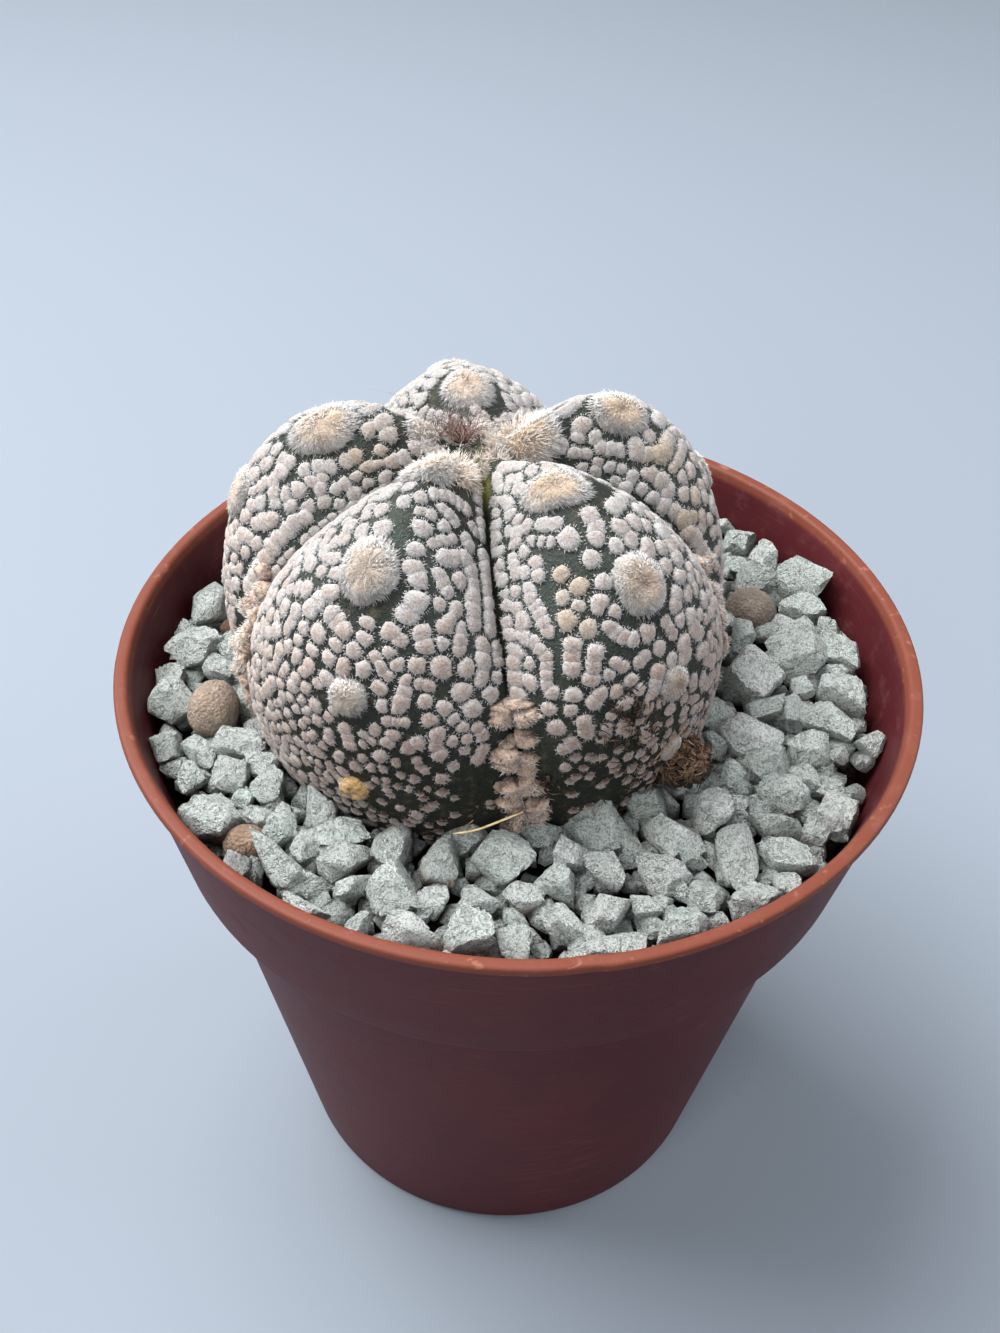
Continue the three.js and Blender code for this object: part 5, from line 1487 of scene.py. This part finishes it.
# Crown wool: silky hair from the youngest areoles, which closes over the growing point.
# rib, degrees off its crest, row, half width, half length, hairs, length, gold
CROWN_TUFTS = [
    (0, 0, 1.35, 5.0, 2.5, 1350, 1.8, 0.9), (2, -4, 1.00, 4.0, 3.5, 1050, 2.1, 1.0),
    (3, 2, 0.80, 2.6, 1.8, 300, 1.4, 0.2), (4, 4, 1.20, 2.8, 2.6, 320, 1.3, 0.1),
    (0, 25, 0.35, 2.0, 1.7, 300, 1.3, 0.6), (1, 26, 0.45, 2.2, 1.5, 280, 1.2, 0.6),
    (3, -24, 0.90, 2.2, 1.8, 220, 1.5, 0.3),
]


def crown_wool(draw):
    """Long hairs on the inner end of each rib, in mounds from which they fan outwards."""
    made = []
    for rib, turn, middle_row, wide, long, count, reach, gold in CROWN_TUFTS:
        middle_way = np.radians(RIB_CREST[rib] + turn)
        angle = draw.uniform(0, 2 * np.pi, count)
        share = np.sqrt(draw.random(count))
        row, way = step_along(np.full(count, middle_row), np.full(count, middle_way),
                              wide * share * np.cos(angle), long * share * np.sin(angle))
        down, _, out = body_frame(row, way)
        lift = draw.uniform(0.1, 1.0, count) * (1 - share**3)
        roots = body_point(row, way) + out * lift[:, None]
        outward = unit(roots - body_point(middle_row, middle_way))
        ways = unit(out * 0.9 + outward * share[:, None] + unit(down) * 0.25
                    + draw.normal(0, 0.26, (count, 3)))
        lengths = reach * draw.uniform(0.5, 1.1, count) * (1 - 0.35 * share)
        bends = draw.normal(0, 0.22, (count, 3)) - 0.25 * out
        tone = blended(WOOL_WHITE, WOOL_BEIGE, draw.uniform(0, 0.6, (count, 1)))
        tone = tone * draw.uniform(0.95, 1.25, (count, 1))
        golden = WOOL_GOLD * draw.uniform(0.85, 1.1, (count, 1))
        tone = blended(tone, golden, gold * draw.uniform(0.6, 1, (count, 1)))
        made.append((roots, ways, lengths, tone, bends))
    return [np.concatenate(column) for column in zip(*made)]


add_hair("crown_wool", *crown_wool(np.random.default_rng(71)), joints=3)

# Flower remains: the dried tube of last season's flower, shrunk to a root of chaff with
# curled pinkish brown hairs and petal tips.
REMAINS_MIDDLE = np.array([-6.9, 2.2, 104.6])
remains_draw = np.random.default_rng(81)


def remains_paint(start):
    where = start.place()
    fibre = start.noise(where, 3.5, 3.0, 0.7)
    tone = start.tone("tone")
    dry = start.mix(colour(160, 132, 118), colour(255, 255, 255), fibre.band(0.3, 0.65))
    dry = start.mix(dry, tone, 1.0, "MULTIPLY")
    return {"Base_Color": dry, "Roughness": 0.8, "Normal": start.bump(fibre, 0.15)}


def lump(middle, size, per_side, rough, pace, seed):
    """A ball's grid stretched to a size and roughened by sines, fine ones upon slow ones."""
    ways, faces = cube_ball(per_side)
    reach = 1 + rough * ripple(ways * pace, seed, 9, 1.0)
    reach = reach + 0.4 * rough * ripple(ways * pace * 3, seed + 1, 9, 1.0)
    reach = reach / (1 + 1.1 * rough)
    return np.asarray(middle) + ways * reach[:, None] * np.asarray(size) / 2, faces


core, core_faces = lump(REMAINS_MIDDLE - [0, 0, 0.4], [1.9, 1.6, 1.3], 10, 0.3, 0.5, 82)
count = 230
roots = REMAINS_MIDDLE + unit(remains_draw.normal(size=(count, 3))) * [0.9, 0.6, 0.3] - [0, 0, 0.3]
ways = unit(unit(roots - REMAINS_MIDDLE) * [0.6, 0.5, 0.3] + [-0.15, 1.0, 0.6]
            + remains_draw.normal(0, 0.27, (count, 3)))
lengths = remains_draw.uniform(2.8, 6.4, count)
curls = unit(np.cross(ways, remains_draw.normal(size=(count, 3))))
curls = curls * remains_draw.uniform(0.8, 2.0, (count, 1))
strand_corners, strand_faces = hairs(
    roots, ways, lengths, HAIR_WIDTH, curls - 0.6 * ways - [0, 0, 0.2], 9)
pale = remains_draw.random((count, 1)) ** 1.2
strand_tone = blended(np.array(colour(92, 60, 56)[:3]), np.array(colour(222, 192, 180)[:3]), pale)
remains_corners = np.concatenate([core, strand_corners.reshape(-1, 3)])
remains_tone = np.concatenate([
    np.broadcast_to(colour(58, 40, 34)[:3], core.shape),
    np.repeat(strand_tone[:, None], strand_corners.shape[1], 1).reshape(-1, 3)])
remains_faces = [core_faces] + [part + len(core) for part in strand_faces]
add_piece("dried_flower", remains_corners, remains_faces, make_material("dried_flower", remains_paint),
          ["flower_remains"], {"tone": remains_tone})

# Odd bits in the bed: three baked clay balls, a bark chip, a clump of peat and root fibre, and a straw.
CLAY_BALLS = [
    ("clay_pebble_left", [-33.6, -8.2, 74.0], [6.0, 7.2, 7.0], 91, (148, 132, 118)),
    ("clay_pebble_right", [28.2, 14.2, 72.8], [6.6, 6.8, 5.6], 93, (122, 110, 100)),
    ("clay_pebble_front", [-27.3, -26.4, 72.6], [5.0, 4.6, 4.4], 95, (136, 114, 96)),
    ("bark_bit", [-33.4, 6.6, 73.0], [5.0, 3.2, 3.2], 97, (84, 60, 44)),
]


def grit_paint(base, dark, light):
    """A paint of coarse grains: a base tint with dark pits and light grains."""
    def paint(start):
        where = start.place()
        grains = start.cells(where, 2.4)
        fine = start.noise(where, 4.5, 4.0, 0.75)
        clouds = start.noise(where, 0.5, 2.0)
        tint = start.mix(base, light, clouds.band(0.45, 0.7) * 0.45)
        tint = start.mix(tint, dark, fine.band(0.5, 0.68) * 0.8)
        tint = start.mix(tint, light, (1 - grains.band(0.12, 0.3)) * 0.45)
        return {"Base_Color": tint, "Roughness": 0.9, "Normal": start.bump(fine + clouds - grains, 0.4)}
    return paint


for name, middle, size, seed, shade in CLAY_BALLS:
    corners, faces = lump(middle, np.array(size) * 1.02, 14, 0.07, 0.6, seed)
    slot = "potting_soil" if name == "bark_bit" else "clay"
    dark = colour(*[level * 0.55 for level in shade])
    light = colour(*[level * 1.35 for level in shade])
    clay = make_material(name + "_grit", grit_paint(colour(*shade), dark, light))
    add_piece(name + "_grit", corners, [faces], clay, [name])

# Peat: a clump of curled fibre and crumbs that leans on the plant's right flank, with more of both
# stuck to the wool round it and beside the front groove, and root hairs that trail over the skin.
PEAT_MIDDLE = np.array([18.6, -15.8, 76.3])
PEAT_SIZE = np.array([5.6, 4.8, 5.2])
PEAT_DARK = np.array(colour(38, 26, 20)[:3])
PEAT_LIGHT = np.array(colour(212, 172, 138)[:3])
PEAT_CRUMBS = 260
PEAT_FIBRES = 1200
# Root hairs: rib, thickness, and the course as row and signed share from crest to groove
ROOT_HAIRS = [
    (1, 0.10, [(6.9, 0.05), (7.0, -0.08), (7.25, -0.16), (7.2, -0.26), (7.0, -0.33)]),
    (0, 0.07, [(7.4, 0.72), (7.7, 0.6), (8.0, 0.62)]),
]


def peat_paint(start):
    where = start.place()
    fine = start.noise(where, 4.0, 4.0, 0.75)
    tint = start.mix(colour(130, 120, 112), colour(255, 255, 255), fine.band(0.35, 0.6))
    tint = start.mix(tint, start.tone("tone"), 1.0, "MULTIPLY")
    return {"Base_Color": tint, "Roughness": 0.85, "Normal": start.bump(fine, 0.25)}


def tube(course, thick, sides=8, flat=1.0):
    """A tube of so many sides about a course of points, its half thickness given at every point."""
    heading = unit(np.gradient(course, axis=0))
    side = unit(np.cross(heading, [0, 0, 1]))
    turn = np.arange(sides) / sides * 2 * np.pi
    ring = side[:, None] * np.cos(turn)[:, None]
    ring = ring + np.cross(side, heading)[:, None] * np.sin(turn)[:, None] * flat
    corners = (course[:, None] + ring * thick[:, None, None]).reshape(-1, 3)
    ends = [np.arange(sides)[None], (len(course) - 1) * sides + np.arange(sides)[None, ::-1]]
    return corners, [grid_faces(len(course), sides)[:, ::-1], *ends]


# Where peat has stuck to the front right rib and beside the front groove's foot: row, degrees, spread
PEAT_CLUSTERS = np.array([
    [6.25, -57.0, 2.6], [6.5, -52.5, 2.4], [6.9, -73.5, 1.2],
    [7.3, -74.5, 1.6], [7.3, -52.0, 4.0], [7.9, -92.0, 6.0],
])


def flank_places(draw, count):
    """Places round the clusters, about a tenth of a row and a degree off for each unit of spread."""
    cluster = PEAT_CLUSTERS[draw.integers(0, len(PEAT_CLUSTERS), count)]
    row = cluster[:, 0] + draw.normal(0, 0.09, count) * cluster[:, 2]
    course = cluster[:, 1] + draw.normal(0, 1.0, count) * cluster[:, 2]
    return np.clip(row, 5.5, 8.2), np.radians(course)


def peat_bits(draw, crumbs, fibres):
    """Angular crumbs, and curled fibres that lie along what carries them, on the clump and the flank.

    A third of the crumbs and a fifth of the fibres are on the flank. Returns corners, faces and tones.
    """
    middle = PEAT_MIDDLE + [-1.2, -0.1, 0.8]
    outward = unit(draw.normal(size=(crumbs, 3)))
    places = middle + outward * PEAT_SIZE / 2 * draw.uniform(0.85, 1.15, (crumbs, 1))
    stuck = crumbs // 3
    row, course = flank_places(draw, stuck)
    places[:stuck] = body_point(row, course) + body_frame(row, course)[2] * 0.15
    size = draw.uniform(0.5, 1.5, (crumbs, 1))
    size[:stuck] *= 0.5
    stones = np.column_stack([places, size, size * 0.8, draw.uniform(0, np.pi, crumbs)])
    crumb_corners, crumb_faces = lay_stones(draw, stones, 2, 0.5, 0.9)
    out = unit(draw.normal(size=(fibres, 3)))
    roots = middle + out * PEAT_SIZE / 2 * draw.uniform(0.85, 1.1, (fibres, 1))
    stuck = fibres // 5
    row, course = flank_places(draw, stuck)
    out[:stuck] = body_frame(row, course)[2]
    roots[:stuck] = body_point(row, course) + out[:stuck] * draw.uniform(0.1, 0.6, (stuck, 1))
    ways = unit(np.cross(out, draw.normal(size=(fibres, 3))) + out * draw.uniform(0, 1.0, (fibres, 1)))
    bends = 0.8 * np.cross(out, ways) * draw.normal(0, 1, (fibres, 1)) - 0.5 * out
    lengths = draw.uniform(0.6, 2.1, fibres)
    lengths[:stuck] *= 0.7
    fibre_corners, fibre_faces = hairs(roots, ways, lengths, 0.11, bends, 4)
    after = crumb_corners.size // 3
    corners = np.concatenate([crumb_corners.reshape(-1, 3), fibre_corners.reshape(-1, 3)])
    crumb_share = np.repeat(0.6 * draw.random(crumbs) ** 1.5, crumb_corners.shape[1])
    fibre_share = np.repeat(draw.random(fibres) ** 1.3, fibre_corners.shape[1])
    tone = blended(PEAT_DARK, PEAT_LIGHT, np.concatenate([crumb_share, fibre_share])[:, None])
    # Painted light and shade: peat bits darken to a quarter towards the bottom of the clump, and bits on
    # the flank are darkened to 0.4.
    painted_top_light = 0.25 + 0.75 * np.clip((corners[:, 2:] - PEAT_MIDDLE[2] + 1.2) / 3.6, 0, 1)
    flank = np.linalg.norm(corners - middle, axis=1)[:, None] > 5
    tone = tone * np.where(flank, 0.4, painted_top_light)
    return corners, [crumb_faces] + [part + after for part in fibre_faces], tone


clump, clump_faces = lump(PEAT_MIDDLE, PEAT_SIZE, 16, 0.42, 1.1, 102)
bit_corners, bit_faces, bit_tone = peat_bits(np.random.default_rng(101), PEAT_CRUMBS, PEAT_FIBRES)
peat_corners = [clump, bit_corners]
peat_faces = [clump_faces] + [part + len(clump) for part in bit_faces]
peat_tone = [np.broadcast_to(PEAT_DARK * 0.6, clump.shape), bit_tone]
for rib, thick, course in ROOT_HAIRS:
    row, way = course_places(rib, course, 18)
    wave = 0.35 + 0.25 * np.sin(np.linspace(0, 7, 18) + 10 * thick)
    path = body_point(row, way) + body_frame(row, way)[2] * wave[:, None]
    hair_corners, hair_faces = tube(path, thick * np.linspace(1, 0.4, 18), 6)
    after = sum(len(part) for part in peat_corners)
    peat_corners.append(hair_corners)
    peat_faces.extend(part + after for part in hair_faces)
    peat_tone.append(np.broadcast_to(PEAT_LIGHT * 0.8, hair_corners.shape))
add_piece("peat_and_root_fibre", np.concatenate(peat_corners), peat_faces,
          make_material("peat_fibre", peat_paint), ["peat_clump"],
          {"tone": np.concatenate(peat_tone)})


# Straw: one dry stalk of grass that fell across the gravel at the plant's foot.
def straw_paint(start):
    fibre = start.noise(start.place((0.4, 3.0, 3.0)), 1.5, 3.0, 0.6)
    straw = start.mix(colour(172, 146, 100), colour(214, 196, 152), fibre.band(0.3, 0.7))
    return {"Base_Color": straw, "Roughness": 0.6, "Normal": start.bump(fibre, 0.08)}


STRAW_ROUTE = np.array([[-5.9, -26.9, 76.3], [-3.6, -26.7, 76.8], [-1.2, -26.1, 77.6], [1.1, -25.4, 78.4]])
steps = np.linspace(0, 3 - 1e-6, 22)
thick = 0.14 * np.clip(np.minimum(steps + 0.15, 3.15 - steps) / 0.7, 0.25, 1) ** 0.5
straw_corners, straw_faces = tube(along_outline(STRAW_ROUTE, steps), thick, flat=0.7)
add_piece("dry_straw", straw_corners, straw_faces, make_material("dry_straw", straw_paint),
          ["straw"])

size = {"cad": [list(corner) for corner in cad_bounds],
        "visual": [list(corner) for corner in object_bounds()]}
